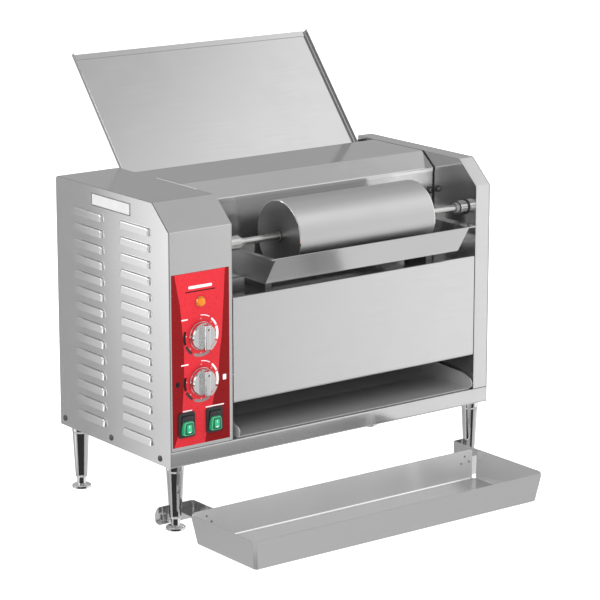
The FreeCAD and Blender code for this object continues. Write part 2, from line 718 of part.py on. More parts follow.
def tray_hooks():
    """A strip at each end of the catch tray: welded to the rear wall, back past the inner side of a
    front leg and outward behind it. Both welded ends point to the tray's left."""
    flare = "catch_flare / catch_h"
    foot = "catch_rear_y + hook_z * " + flare + " + 1.25"
    head = "catch_rear_y + (hook_z + hook_h) * " + flare + " + 1.25"
    for side, arm_x, outward, weld_len in (
            ("left", "arm_left_x", -1, "50"), ("right", "body_w - arm_right_inset", 1, "74")):
        reach = "arm_%s_reach" % side
        name = "tray_hook_" + side
        body = new_body(name)
        strip = new_sketch(body, "XY_Plane")
        sheet_section(strip, [
            ("0", "catch_rear_y + 6"), ("0", "hook_y"), ("%d * %s" % (outward, reach), "hook_y")],
            side=outward, gauge="hook_gauge", bend="3")
        pad(body, strip, "hook_h")
        weld = new_sketch(body, "YZ_Plane", "hook_gauge" if outward < 0 else "0")
        polygon(weld, [(foot, "0"), (foot + " + hook_gauge", "0"), (head + " + hook_gauge", "hook_h"),
                       (head, "hook_h")])
        pad(body, weld, weld_len, reverse=True)
        round_edges(body, "10", lambda edge: edge.CenterOfMass.x * outward > size(reach) - 1
                    and edge_runs(edge, Y_AXIS))
        place(body, x=arm_x, z="hook_z")
        keep(body, name)


# ---------------------------------------------------------------------------------------------
# Controls
# ---------------------------------------------------------------------------------------------

def control_overlay():
    """The coloured film on the control tower."""
    def outline(sketch):
        rectangle(sketch, "film_x", "film_z", "film_w", "film_h")
    body = extrusion("control_overlay", "XZ_Plane", outline, "film_t")
    holes = new_sketch(body, "XZ_Plane")
    circle(holes, "dial_x", "heat_z", "6")
    circle(holes, "dial_x", "speed_z", "6")
    for left in ("left_switch_x", "right_switch_x"):
        rectangle(holes, left + " + 2", "switch_z + 2", "switch_w - 4", "switch_h - 4")
    pocket(body, holes, "1", reverse=True)
    keep(body, "control_overlay")


def pilot_light():
    """A chromed ring on the film with a domed lens in it."""
    bezel = turned("pilot_bezel", [
        ("6.6", "0"), ("9", "0"), ("9", "1"), ("8", "2.6"), ("6.6", "2.6")],
        x="dial_x - 0.2", y="-film_t", z="pilot_z", along=-Y_AXIS)
    keep(bezel, "pilot_bezel")
    lens = turned("pilot_lens", [
        ("0", "0"), ("6.5", "0"), ("6.5", "3"), ("5.6", "4.6"), ("3.4", "5.6"), ("0", "6")],
        x="dial_x - 0.2", y="-film_t", z="pilot_z", along=-Y_AXIS)
    keep(lens, "pilot_lens")


def knob(name, height):
    """A round knob with a raised grip bar across it and the spindle that it turns."""
    body = new_body(name)
    profile = polygon(new_sketch(body, "XZ_Plane"), [
        ("0", "-14"), ("3", "-14"), ("3", "0.6"), ("knob_r", "0.6"), ("knob_r", "8"),
        ("knob_r - 1.8", "10.5"), ("0", "10.5")])
    revolve(body, profile)
    bar = new_sketch(body, "XY_Plane", "10")
    rectangle(bar, "-5.2", "-knob_r + 2.4", "10.4", "2 * knob_r - 4.8")
    pad(body, bar, "knob_depth - 10")
    round_edges(body, "2", lambda edge: edge.CenterOfMass.z > size("knob_depth") - 0.1)
    place(body, x="dial_x", y="-film_t", z=height, turn=FreeCAD.Rotation(Z_AXIS, -Y_AXIS))
    keep(body, name)


def control_body(name, height, radius, depth):
    """The control behind a knob: a round can with a bushing that the knob's spindle turns in."""
    body = turned(name, [
        ("3 + fit", "0"), ("5.5", "0"), ("5.5", "6"), (radius, "6"), (radius, depth),
        ("0", depth), ("0", "16"), ("3 + fit", "16")],
        x="dial_x", y="gauge", z=height, along=Y_AXIS)
    keep(body, name)


def switch(side, left):
    """A rocker switch: a frame with a raised rim through the panel, and its rocker on a pivot."""
    name = side + "_switch"
    body = new_body(name)
    rim = new_sketch(body, "XZ_Plane")
    rectangle(rim, "0", "0", "switch_w", "switch_h")
    pad(body, rim, "3")
    round_edges(body, "4", lambda edge: edge_runs(edge, Y_AXIS))
    round_edges(body, "1.2", lambda edge: edge.CenterOfMass.y < -2.9)
    can = new_sketch(body, "XZ_Plane")
    rectangle(can, "2.3", "2.3", "switch_w - 4.6", "switch_h - 4.6")
    pad(body, can, "26", reverse=True)
    well = new_sketch(body, "XZ_Plane", "4")
    rectangle(well, "5", "5", "switch_w - 10", "switch_h - 10")
    pocket(body, well, "13", reverse=False)
    place(body, x=left, y="-film_t", z="switch_z")
    keep(body, name)
    rocker = new_body(side + "_rocker")
    face = new_sketch(rocker, "YZ_Plane")
    half = "(switch_h / 2 - 5.6)"
    polygon(face, [
        ("-1.5", "-" + half), ("-0.2", "0"), ("-1.5", half), ("4.6", half), ("5.6", "0"),
        ("4.6", "-" + half)])
    pad(rocker, face, "switch_w - 10.8")
    tilt = FreeCAD.Rotation(X_AXIS, 6)
    place(rocker, x=left + " + 5.4", y="-2.6", z="switch_z + switch_h / 2", turn=tilt)
    keep(rocker, side + "_rocker")


# ---------------------------------------------------------------------------------------------
# Heating and conveyor
# ---------------------------------------------------------------------------------------------

def heating():
    """A heated plate across the lane, its elements behind it and a shield behind those."""
    inside = "body_w - tower_w - narrow_w"
    keep(block("platen", "tower_w", "platen_y", "platen_z", inside, "platen_t", "platen_h"), "platen")
    elements = [rod("element_%d" % index, "tower_w + 8", "platen_y + platen_t + element_r",
                    "platen_z + %g * platen_h" % up, "element_r", inside + " - 16")
                for index, up in enumerate((0.2, 0.5, 0.8))]
    keep(group("heater_elements", elements), "heater_elements")
    keep(block("heat_shield", "tower_w", "shield_y", "shield_z", inside, "gauge", "shield_h"),
         "heat_shield")


def loop(name, low_radius, high_radius, spacing, thick, width, x, y, z):
    """A closed belt or chain round two wheels, one straight above the other."""
    low_r, high_r, span = size(low_radius), size(high_radius), size(spacing)
    outlines = []
    for grow in (0, size(thick)):
        tilt = math.asin((low_r - high_r) / span)
        cos_tilt, sin_tilt = math.cos(tilt), math.sin(tilt)
        low_side = FreeCAD.Vector(0, (low_r + grow) * cos_tilt, (low_r + grow) * sin_tilt)
        high_side = FreeCAD.Vector(0, (high_r + grow) * cos_tilt, span + (high_r + grow) * sin_tilt)
        low_end = FreeCAD.Vector(0, 0, -(low_r + grow))
        high_end = FreeCAD.Vector(0, 0, span + high_r + grow)
        low_far = FreeCAD.Vector(0, -low_side.y, low_side.z)
        high_far = FreeCAD.Vector(0, -high_side.y, high_side.z)
        outlines.append(Part.Wire([
            Part.Arc(low_far, low_end, low_side).toShape(), Part.makeLine(low_side, high_side),
            Part.Arc(high_side, high_end, high_far).toShape(), Part.makeLine(high_far, low_far)]))
    inner, outer = [Part.Face(outline) for outline in outlines]
    band = doc.addObject("Part::Feature", name)
    band.Shape = outer.cut(inner).extrude(FreeCAD.Vector(size(width), 0, 0))
    place(band, x, y, z)
    keep(band, name)


def conveyor():
    """A belt on two axles. The lower axle is driven by a chain from the gearmotor in the tower."""
    inside = "body_w - tower_w - narrow_w"
    for name, height in (("drive_axle", "belt_low_z"), ("idler_axle", "belt_high_z")):
        profile = [("0", "0"), ("axle_r", "0")]
        for index in range(BELT_WHEELS):
            start = "pulley_start + pulley_pitch * %d" % index
            profile += [("axle_r", start), ("pulley_r", start), ("pulley_r", start + " + pulley_w"),
                        ("axle_r", start + " + pulley_w")]
        profile += [("axle_r", "axle_len"), ("0", "axle_len")]
        keep(turned(name, profile, x="axle_x", y="belt_y", z=height, along=X_AXIS), name)
    belt_round = "pulley_r + wheel_clear"
    loop("conveyor_belt", belt_round, belt_round, "belt_high_z - belt_low_z", "belt_t",
         inside + " - 2 * belt_inset", x="tower_w + belt_inset", y="belt_y", z="belt_low_z")
    bearings = []
    for side, x in (("left", "tower_w - gauge - bearing_w"), ("right", "body_w - narrow_w + gauge")):
        for level, height in (("low", "belt_low_z"), ("high", "belt_high_z")):
            bearings.append(turned("bearing_%s_%s" % (side, level), [
                ("axle_r + fit", "0"), ("bearing_r", "0"), ("bearing_r", "bearing_w"),
                ("axle_r + fit", "bearing_w")],
                x=x, y="belt_y", z=height, along=X_AXIS))
    keep(group("axle_bearings", bearings), "axle_bearings")
    wheel = turned("drive_wheel", [
        ("axle_r", "0"), ("12", "0"), ("12", "wheel_hub"), ("drive_wheel_r", "wheel_hub"),
        ("drive_wheel_r", "wheel_hub + wheel_t"), ("axle_r", "wheel_hub + wheel_t")],
        x="wheel_x", y="belt_y", z="belt_low_z", along=X_AXIS)
    keep(wheel, "drive_wheel")
    wheel_start = "wheel_x + wheel_hub - motor_spindle_x"
    pinion = turned("motor_wheel", [
        ("0", "0"), ("motor_spindle_r", "0"), ("motor_spindle_r", wheel_start),
        ("motor_wheel_r", wheel_start), ("motor_wheel_r", wheel_start + " + wheel_t"),
        ("0", wheel_start + " + wheel_t")],
        x="motor_spindle_x", y="belt_y", z="motor_z", along=X_AXIS)
    keep(pinion, "motor_wheel")
    loop("drive_chain", "drive_wheel_r + wheel_clear", "motor_wheel_r + wheel_clear",
         "motor_z - belt_low_z", "4", "wheel_t", x="wheel_x + wheel_hub", y="belt_y", z="belt_low_z")
    gearbox = block("gearbox", "motor_box_x", "belt_y - 34", "motor_z - 34", "32", "68", "80")
    can = rod("motor_can", "motor_box_x - 44", "belt_y", "motor_z + 14", "motor_can_r", "44")
    shell = fuse("conveyor_motor_shell", [gearbox, can])
    bore = rod("gearbox_bore", "motor_spindle_x - 0.5", "belt_y", "motor_z", "motor_spindle_r + fit",
               "30")
    keep(cut("conveyor_motor", shell, [bore]), "conveyor_motor")


def roller_motor():
    """The gearmotor on the roller's own axis, behind the control tower's front."""
    gearbox = block("roller_gearbox", "84", "4", "roller_z - 26", "24", "48", "50")
    can = rod("roller_can", "16", "roller_y", "roller_z", "21", "68")
    shell = fuse("roller_motor_shell", [gearbox, can])
    bore = rod("roller_bore", "shaft_x - 0.5", "roller_y", "roller_z", "shaft_r + fit", "30")
    keep(cut("roller_motor", shell, [bore]), "roller_motor")


def wiring():
    """The terminal block on the base pan and the cord's gland in the rear panel."""
    base = block("terminal_base", "24", "240", "under_z + gauge", "70", "28", "14")
    ways = [block("terminal_way_%d" % index, "%d" % (30 + 16 * index), "246", "under_z + gauge + 8",
                  "10", "16", "8") for index in range(4)]
    keep(cut("terminal_block", base, ways), "terminal_block")
    gland = turned("cord_gland", [
        ("5", "-12"), ("9.5", "-12"), ("9.5", "0"), ("14", "0"), ("14", "6"), ("11", "7.5"),
        ("11", "17"), ("9", "19"), ("5", "19")],
        x="gland_x", y="body_d", z="gland_z", along=Y_AXIS)
    keep(gland, "cord_gland")


def screws():
    """Domed screw heads on the side and rear panels."""
    heads = []
    profile = [("0", "0"), ("5", "0"), ("4.6", "1.2"), ("3.2", "2.2"), ("0", "2.7")]
    spots = [("28.6", "under_z + 10.6"), ("166", "under_z + 11.6"), ("302", "under_z + 12.6")]
    for index, (y, z) in enumerate(spots):
        heads.append(turned("screw_left_%d" % index, profile, x="0", y=y, z=z, along=-X_AXIS))
        heads.append(turned("screw_right_%d" % index, profile, x="body_w", y=y, z=z, along=X_AXIS))
    for column, x in enumerate(("14", "body_w / 2", "body_w - 14")):
        for level, z in enumerate(("145", "490")):
            heads.append(turned("screw_rear_%d_%d" % (column, level), profile, x=x, y="body_d", z=z,
                                along=Y_AXIS))
    keep(group("screws", heads), "screws")


# ---------------------------------------------------------------------------------------------
# Build, check and write
# ---------------------------------------------------------------------------------------------

def check():
    """Stop on a failed object or a shape that is empty, not valid or not solid."""
    for item in doc.Objects:
        if "Invalid" in item.State or "Error" in item.State:
            raise RuntimeError("%s is %s" % (item.Name, item.State))
    for target in PARTS:
        if target.Shape.isNull() or not target.Shape.isValid() or not target.Shape.Solids:
            raise RuntimeError("%s has no sound shape" % target.Label)


def write():
    os.makedirs("parts", exist_ok=True)
    for target in PARTS:
        target.Shape.exportStep(os.path.join("parts", target.Label + ".step"))


base_pan()
left_side_panel()
right_side_panel()
left_tower_shell()
right_tower_shell()
inner_walls()
rear_panel()
hood()
recess_wall()
front_panel()
legs_and_feet()
butter_roller()
roller_line()
butter_pan()
pan_rests()
bun_chute()
chute_guides()
lower_slide()
landing_tray()
catch_tray()
tray_hooks()
control_overlay()
pilot_light()
knob("heat_knob", "heat_z")
knob("speed_knob", "speed_z")
control_body("thermostat", "heat_z", "19", "34")
control_body("speed_control", "speed_z", "13", "28")
switch("left", "left_switch_x")
switch("right", "right_switch_x")
heating()
conveyor()
roller_motor()
wiring()
screws()
doc.recompute()
check()
write()
print("%d sub-parts written" % len(PARTS))
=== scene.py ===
import json
import math

import bmesh
import bpy
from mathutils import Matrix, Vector


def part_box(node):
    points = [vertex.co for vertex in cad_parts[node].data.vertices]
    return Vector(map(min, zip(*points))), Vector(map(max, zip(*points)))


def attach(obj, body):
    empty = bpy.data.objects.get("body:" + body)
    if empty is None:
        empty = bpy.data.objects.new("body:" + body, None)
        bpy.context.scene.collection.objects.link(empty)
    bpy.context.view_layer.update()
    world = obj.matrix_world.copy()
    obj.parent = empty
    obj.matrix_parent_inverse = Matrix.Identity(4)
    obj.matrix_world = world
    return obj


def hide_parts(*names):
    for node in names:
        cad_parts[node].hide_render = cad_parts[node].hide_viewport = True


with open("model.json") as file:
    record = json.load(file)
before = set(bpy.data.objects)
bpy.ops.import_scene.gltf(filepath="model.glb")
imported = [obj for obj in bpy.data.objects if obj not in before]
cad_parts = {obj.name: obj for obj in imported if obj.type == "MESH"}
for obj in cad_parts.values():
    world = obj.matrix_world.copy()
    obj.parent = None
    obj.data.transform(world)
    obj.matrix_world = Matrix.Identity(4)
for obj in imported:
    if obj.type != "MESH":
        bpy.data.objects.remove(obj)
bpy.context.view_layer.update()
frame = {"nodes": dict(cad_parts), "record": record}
NODES = frame["nodes"]

MM = 0.001


# ---------------------------------------------------------------------------------------------
# Places on the object, read from the frame
# ---------------------------------------------------------------------------------------------

def low(node):
    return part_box(node)[0]


def high(node):
    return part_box(node)[1]


# The case's left face, front face and the counter are where the outlines below are measured from.
TOWER_WIDTH = 116.8
LEFT = low("left_inner_wall").x - TOWER_WIDTH * MM
FRONT = low("base_pan").y


def spot(x, y, z):
    """A point given in millimetres from the case's left face, front face and the counter."""
    return Vector((LEFT + x * MM, FRONT + y * MM, z * MM))


def on_front(across, up, out):
    """A point on the case's front: millimetres across, up and out from it."""
    return spot(across, -out, up)


def on_side(along, up, out):
    """A point on the case's left side: millimetres along it to the rear, up and out from it."""
    return spot(-out, along, up)


# ---------------------------------------------------------------------------------------------
# Node trees
# ---------------------------------------------------------------------------------------------

class Graph:
    """A node tree with short ways to add and join nodes."""

    def __init__(self, tree):
        self.tree = tree

    def put(self, node, key, value):
        socket = node.inputs[key]
        if isinstance(value, bpy.types.NodeSocket):
            self.tree.links.new(value, socket)
        else:
            socket.default_value = value

    def add(self, kind, **inputs):
        node = self.tree.nodes.new(kind)
        for key, value in inputs.items():
            self.put(node, key.replace("_", " "), value)
        return node

    def spread(self, value, start, end, low_value=0.0, high_value=1.0, smooth=False):
        """Map a range of a value onto another, held at its ends."""
        node = self.add("ShaderNodeMapRange", Value=value)
        if smooth:
            node.interpolation_type = "SMOOTHSTEP"
        for key, number in (("From Min", start), ("From Max", end), ("To Min", low_value),
                            ("To Max", high_value)):
            node.inputs[key].default_value = number
        return node.outputs["Result"]

    def math(self, operation, first, second):
        node = self.add("ShaderNodeMath")
        node.operation = operation
        self.put(node, 0, first)
        self.put(node, 1, second)
        return node.outputs[0]

    def vector(self, operation, first, second=None, result="Vector"):
        node = self.add("ShaderNodeVectorMath")
        node.operation = operation
        self.put(node, 0, first)
        if second is not None:
            self.put(node, 1, second)
        return node.outputs[result]

    def blend(self, factor, first, second):
        node = self.add("ShaderNodeMix")
        node.data_type = "RGBA"
        self.put(node, 0, factor)
        self.put(node, 6, first)
        self.put(node, 7, second)
        return node.outputs[2]


def grey(value):
    return (value, value, value, 1)


# ---------------------------------------------------------------------------------------------
# Camera, floor and studio
# ---------------------------------------------------------------------------------------------

CAMERA_PLACE = (-2215.98, -3270.62, 1330.85)
CAMERA_DOWN = 13.6463
CAMERA_TURN = 37.0014
FOCAL_LENGTH = 161.11


def make_camera():
    data = bpy.data.cameras.new("camera")
    data.lens = FOCAL_LENGTH
    data.sensor_width = 36.0
    data.clip_start = 0.1
    data.clip_end = 60.0
    camera = bpy.data.objects.new("camera", data)
    camera.location = spot(*CAMERA_PLACE)
    camera.rotation_euler = (math.radians(90 - CAMERA_DOWN), 0.0, -math.radians(CAMERA_TURN))
    bpy.context.scene.collection.objects.link(camera)
    bpy.context.scene.camera = camera


def make_floor():
    """A wide white sheet of paper. Polished steel mirrors the studio's lower half instead of it."""
    mesh = bpy.data.meshes.new("floor")
    reach = 14.0
    mesh.from_pydata([(-reach, -reach, 0), (reach, -reach, 0), (reach, reach, 0), (-reach, reach, 0)],
                     [], [(0, 1, 2, 3)])
    floor = bpy.data.objects.new("floor", mesh)
    floor.location = (0, 0, -0.0004)
    floor.visible_glossy = False
    bpy.context.scene.collection.objects.link(floor)
    material = bpy.data.materials.new("floor_paper")
    material.use_nodes = True
    shader = material.node_tree.nodes["Principled BSDF"]
    shader.inputs["Base Color"].default_value = (0.9, 0.9, 0.9, 1)
    shader.inputs["Roughness"].default_value = 0.9
    shader.inputs["Specular IOR Level"].default_value = 0.2
    shader.inputs["Emission Color"].default_value = (1, 1, 1, 1)
    shader.inputs["Emission Strength"].default_value = 0.75
    mesh.materials.append(material)


# The studio round the machine. Its general brightness goes by the Z of a direction. Softboxes,
# cards and dark openings are patches of a turn about Z, in degrees from the azimuth that they are
# counted from, and of a range of Z.
STUDIO_AZIMUTH = -120
STUDIO_HEIGHTS = ((-1.0, 0.86), (-0.75, 0.84), (-0.52, 0.68), (-0.38, 0.60), (-0.1, 0.70), (0.2, 0.56),
                  (0.5, 0.55), (0.82, 0.58), (1.0, 0.66))
STUDIO_PATCHES = (
    # first and last turn, softness, lowest and highest Z, softness, brightness
    (-58, 50, 5, -0.46, -0.262, 0.015, 0.04),     # dark opening below the horizon
    (67, 128, 5, -0.33, 0.765, 0.025, 1.16),      # wide softbox
    (-140, -85, 6, -0.46, 0.12, 0.03, 0.46),      # dim wall
    (142, 190, 4, 0.04, 0.60, 0.04, 0.44),        # dim wall above the horizon
    (-44, -8, 5, -0.259, -0.08, 0.006, 3.20),     # strip light below the horizon
    (-56, 8, 6, 0.22, 0.60, 0.06, 1.90),          # softbox above the horizon
    (-45, -10, 6, 0.66, 0.88, 0.05, 0.20),        # dark ceiling over it
)


def make_world():
    world = bpy.data.worlds.new("studio")
    bpy.context.scene.world = world
    world.use_nodes = True
    graph = Graph(world.node_tree)
    direction = graph.add("ShaderNodeTexCoord").outputs["Generated"]
    height = graph.add("ShaderNodeSeparateXYZ", Vector=direction).outputs["Z"]
    ramp = graph.add("ShaderNodeValToRGB", Fac=graph.spread(height, -1.0, 1.0))
    ramp.color_ramp.elements.remove(ramp.color_ramp.elements[1])
    for index, (place, value) in enumerate(STUDIO_HEIGHTS):
        if index:
            element = ramp.color_ramp.elements.new((place + 1) / 2)
        else:
            element = ramp.color_ramp.elements[0]
            element.position = (place + 1) / 2
        element.color = grey(value)
    colour = ramp.outputs["Color"]
    zero = math.radians(STUDIO_AZIMUTH)
    ahead = graph.vector("DOT_PRODUCT", direction, (math.cos(zero), math.sin(zero), 0), "Value")
    beside = graph.vector("DOT_PRODUCT", direction, (-math.sin(zero), math.cos(zero), 0), "Value")
    turn = graph.math("MULTIPLY", graph.math("ARCTAN2", beside, ahead), math.degrees(1))
    for first, last, soft, lowest, highest, blur, value in STUDIO_PATCHES:
        inside = graph.math("MULTIPLY", graph.spread(turn, first - soft, first + soft, smooth=True),
                            graph.spread(turn, last - soft, last + soft, 1.0, 0.0, smooth=True))
        for edge, bottom, top in ((lowest, 0.0, 1.0), (highest, 1.0, 0.0)):
            inside = graph.math("MULTIPLY", inside, graph.spread(height, edge - blur, edge + blur,
                                                                 bottom, top, smooth=True))
        colour = graph.blend(inside, colour, grey(value))
    background = world.node_tree.nodes["Background"]
    world.node_tree.links.new(colour, background.inputs["Color"])
    background.inputs["Strength"].default_value = 1.0


CARD_TOWARD = Vector((-0.54, 0.84, 0.0)).normalized()
CARD_ACROSS = Vector((-0.84, -0.54, 0.0)).normalized()
CARD_DISTANCE = 0.85
CARD_LEAD = 0.10
CARD_WIDTH = 0.7
CARD_LOW = -0.22
CARD_HIGH = 0.8
# How the card's strength grows: with the distance from its inner edge, with height, and again in its
# upper part. Each row is two distances in metres and the factors there.
CARD_ASIDE = (-0.06, 0.16, 0.50, 1.22)
CARD_RISE = (-0.05, 0.25, 0.85, 1.16)
CARD_GLARE = (0.46, 0.58, 1.0, 3.0)


def make_card():
    """A lit card behind the machine's left side. It is dimmer along its inner edge and low down, so
    the side panel that mirrors it is too, and brightest in its upper part."""
    edge = spot(0, 0, 0) + CARD_TOWARD * CARD_DISTANCE - CARD_ACROSS * CARD_LEAD
    corners = ((0, CARD_LOW), (CARD_WIDTH, CARD_LOW), (CARD_WIDTH, CARD_HIGH), (0, CARD_HIGH))
    mesh = bpy.data.meshes.new("card")
    mesh.from_pydata([edge + CARD_ACROSS * side + Vector((0, 0, height))
                      for side, height in corners], [], [(0, 1, 2, 3)])
    card = bpy.data.objects.new("card", mesh)
    card.visible_camera = False
    card.visible_diffuse = False
    card.visible_shadow = False
    bpy.context.scene.collection.objects.link(card)
    material = bpy.data.materials.new("card_light")
    material.use_nodes = True
    shader = material.node_tree.nodes["Principled BSDF"]
    shader.inputs["Base Color"].default_value = (0, 0, 0, 1)
    shader.inputs["Specular IOR Level"].default_value = 0.0
    shader.inputs["Emission Color"].default_value = (1, 1, 1, 1)
    graph = Graph(material.node_tree)
    place = graph.add("ShaderNodeTexCoord").outputs["Object"]
    aside = graph.vector("DOT_PRODUCT", graph.vector("SUBTRACT", place, tuple(edge)),
                         tuple(CARD_ACROSS), "Value")
    height = graph.add("ShaderNodeSeparateXYZ", Vector=place).outputs["Z"]
    strength = graph.math("MULTIPLY", graph.spread(aside, *CARD_ASIDE, smooth=True),
                          graph.spread(height, *CARD_RISE))
    strength = graph.math("MULTIPLY", strength, graph.spread(height, *CARD_GLARE))
    graph.put(shader, "Emission Strength", strength)
    mesh.materials.append(material)


def area_light(name, place, target, wide, tall, power):
    """A soft light for the dull surfaces. Steel mirrors the studio, so it doesn't mirror these."""
    data = bpy.data.lights.new(name, "AREA")
    data.shape = "RECTANGLE"
    data.size = wide
    data.size_y = tall
    data.energy = power
    light = bpy.data.objects.new(name, data)
    light.location = place
    aim = Vector(target) - Vector(place)
    light.rotation_euler = aim.to_track_quat("-Z", "Y").to_euler()
    light.visible_camera = False
    light.visible_glossy = False
    bpy.context.scene.collection.objects.link(light)


def make_lights():
    area_light("key", (-2.2, -2.6, 2.6), (0, 0, 0.3), 2.2, 2.2, 50)
    area_light("fill", (2.8, -1.6, 2.0), (0, 0, 0.3), 2.0, 2.0, 30)
    area_light("top", (0.2, 0.4, 3.2), (0, 0, 0.3), 2.6, 2.0, 30)


# ---------------------------------------------------------------------------------------------
# Materials
# ---------------------------------------------------------------------------------------------

class Finish(Graph):
    """A material under way."""

    def __init__(self, name):
        self.material = bpy.data.materials.new(name)
        self.material.use_nodes = True
        super().__init__(self.material.node_tree)
        self.shader = self.tree.nodes["Principled BSDF"]

    def stretched(self, scale):
        """Object coordinates stretched by a scale along each axis."""
        coordinate = self.add("ShaderNodeTexCoord")
        return self.add("ShaderNodeMapping", Vector=coordinate.outputs["Object"],
                        Scale=scale).outputs["Vector"]

    def noise(self, scale, detail=2.0):
        return self.add("ShaderNodeTexNoise", Vector=self.stretched(scale), Scale=1.0,
                        Detail=detail).outputs["Fac"]

    def bump(self, height, strength, distance):
        node = self.add("ShaderNodeBump", Height=height, Strength=strength, Distance=distance)
        self.put(self.shader, "Normal", node.outputs["Normal"])

    def set(self, **values):
        for key, value in values.items():
            self.put(self.shader, key.replace("_", " "), value)


STEEL_GRAIN = 0.022


def steel(name, along, tone=0.62, rough=0.11, anisotropy=0.5, metal=0.93):
    """Stainless sheet brushed along one axis: hair-fine streaks in tone, bump and roughness, and
    slow cloudy handling marks."""
    made = Finish(name)
    fine = [3600.0, 3600.0, 3600.0]
    fine[along] = 14.0
    coarse = [700.0, 700.0, 700.0]
    coarse[along] = 3.5
    streak = made.noise(fine, detail=3.0)
    band = made.noise(coarse)
    cloud = made.noise((5.0, 5.0, 5.0), detail=5.0)
    smear = made.noise((26.0, 26.0, 26.0), detail=4.0)
    lines = made.blend(made.spread(streak, 0.3, 0.7), grey(tone - STEEL_GRAIN),
                       grey(tone + STEEL_GRAIN))
    worn = made.blend(made.spread(cloud, 0.4, 0.7, 0.0, 0.35), lines, grey(tone - 0.035))
    made.put(made.shader, "Base Color", worn)
    rougher = made.math("ADD", made.spread(band, 0.25, 0.75, rough - 0.015, rough + 0.02),
                        made.spread(smear, 0.45, 0.75, 0.0, 0.035))
    made.put(made.shader, "Roughness", rougher)
    direction = [0.0, 0.0, 0.0]
    direction[along] = 1.0
    tangent = made.add("ShaderNodeCombineXYZ", X=direction[0], Y=direction[1], Z=direction[2])
    made.set(Metallic=metal, Anisotropic=anisotropy, Tangent=tangent.outputs["Vector"])
    made.bump(streak, 0.05, 0.0001)
    return made.material


def sheen_painted_steel(name, along):
    """Brushed sheet with a painted sheen: its upward faces, apart from the ones across the brushing,
    are painted lighter and less metallic, and the flattest of them darker again."""
    made = Finish(name)
    fine = [2200.0, 2200.0, 2200.0]
    fine[along] = 12.0
    streak = made.noise(fine, detail=2.0)
    cloud = made.noise((5.0, 5.0, 5.0), detail=4.0)
    normal = made.add("ShaderNodeNewGeometry").outputs["Normal"]
    facing = made.add("ShaderNodeSeparateXYZ", Vector=normal).outputs
    # Painted sheen: upward faces get a lighter, less metallic colour, and the flattest a darker one.
    up = made.spread(facing["Z"], 0.05, 0.14)
    across = made.spread(made.math("ABSOLUTE", facing["XYZ"[along]], 0.0), 0.3, 0.7, 1.0, 0.0)
    painted_sheen_mask = made.math("MULTIPLY", up, across)
    clean = made.blend(made.spread(streak, 0.3, 0.7), grey(0.575), grey(0.60))
    painted_sheen_tone = made.blend(made.spread(cloud, 0.35, 0.7), grey(0.70), grey(0.76))
    flat = made.spread(facing["Z"], 0.6, 0.95)
    painted_sheen_tone = made.blend(flat, painted_sheen_tone, grey(0.47))
    made.put(made.shader, "Base Color", made.blend(painted_sheen_mask, clean, painted_sheen_tone))
    made.put(made.shader, "Metallic", made.spread(painted_sheen_mask, 0.0, 1.0, 0.95, 0.55))
    made.put(made.shader, "Roughness", made.spread(cloud, 0.3, 0.7, 0.17, 0.22))
    made.bump(streak, 0.04, 0.0001)
    return made.material


def turned_steel(name, axis_y, axis_z, tone, rough, reach):
    """Steel turned on a lathe about an axis along X: fine rings round its barrel and, on its ends,
    round its centre. The ends are painted darker than the barrel, with painted shade deepening from
    their reach toward the shaft."""
    made = Finish(name)
    place = made.add("ShaderNodeSeparateXYZ", Vector=made.stretched((1.0, 1.0, 1.0)))
    off_y = made.math("SUBTRACT", place.outputs["Y"], axis_y)
    off_z = made.math("SUBTRACT", place.outputs["Z"], axis_z)
    radius = made.math("SQRT", made.math("ADD", made.math("MULTIPLY", off_y, off_y),
                                         made.math("MULTIPLY", off_z, off_z)), 0.0)
    rings = made.add("ShaderNodeCombineXYZ", X=made.math("MULTIPLY", place.outputs["X"], 1800.0),
                     Y=made.math("MULTIPLY", radius, 1800.0))
    ring = made.add("ShaderNodeTexNoise", Vector=rings.outputs["Vector"], Scale=1.0,
                    Detail=3.0).outputs["Fac"]
    film = made.noise((9.0, 22.0, 22.0), detail=4.0)
    barrel = made.blend(made.spread(ring, 0.3, 0.7), grey(tone - 0.02), grey(tone + 0.02))
    facing = made.add("ShaderNodeSeparateXYZ",
                      Vector=made.add("ShaderNodeNewGeometry").outputs["Normal"]).outputs["X"]
    end = made.spread(made.math("ABSOLUTE", facing, 0.0), 0.85, 0.95)
    # Painted shade on the end faces: darker than the barrel, and darker still toward the shaft.
    end_shade = made.blend(made.spread(radius, 0.0, reach, smooth=True), grey(0.16), grey(0.42))
    made.put(made.shader, "Base Color", made.blend(end, barrel, end_shade))
    made.put(made.shader, "Roughness", made.math(
        "ADD", made.spread(ring, 0.3, 0.7, rough - 0.02, rough + 0.02),
        made.spread(film, 0.4, 0.7, 0.0, 0.05)))
    made.set(Metallic=1.0)
    made.bump(ring, 0.04, 0.0001)
    return made.material


def plain(name, colour, rough=0.4, metallic=0.0, mottled=0.06, bump=0.08):
    """A moulded, painted or plated surface: slight clouds in tone and roughness and a fine bump."""
    made = Finish(name)
    cloud = made.noise((40.0, 40.0, 40.0), detail=4.0)
    darker = tuple(channel * (1 - mottled) for channel in colour) + (1,)
    lighter = tuple(min(1, channel * (1 + mottled)) for channel in colour) + (1,)
    made.put(made.shader, "Base Color", made.blend(made.spread(cloud, 0.3, 0.7), darker, lighter))
    made.put(made.shader, "Roughness", made.spread(cloud, 0.2, 0.8, rough * 0.85, rough * 1.15))
    made.set(Metallic=metallic)
    made.bump(made.noise((900.0, 900.0, 900.0)), bump, 0.0001)
    return made.material


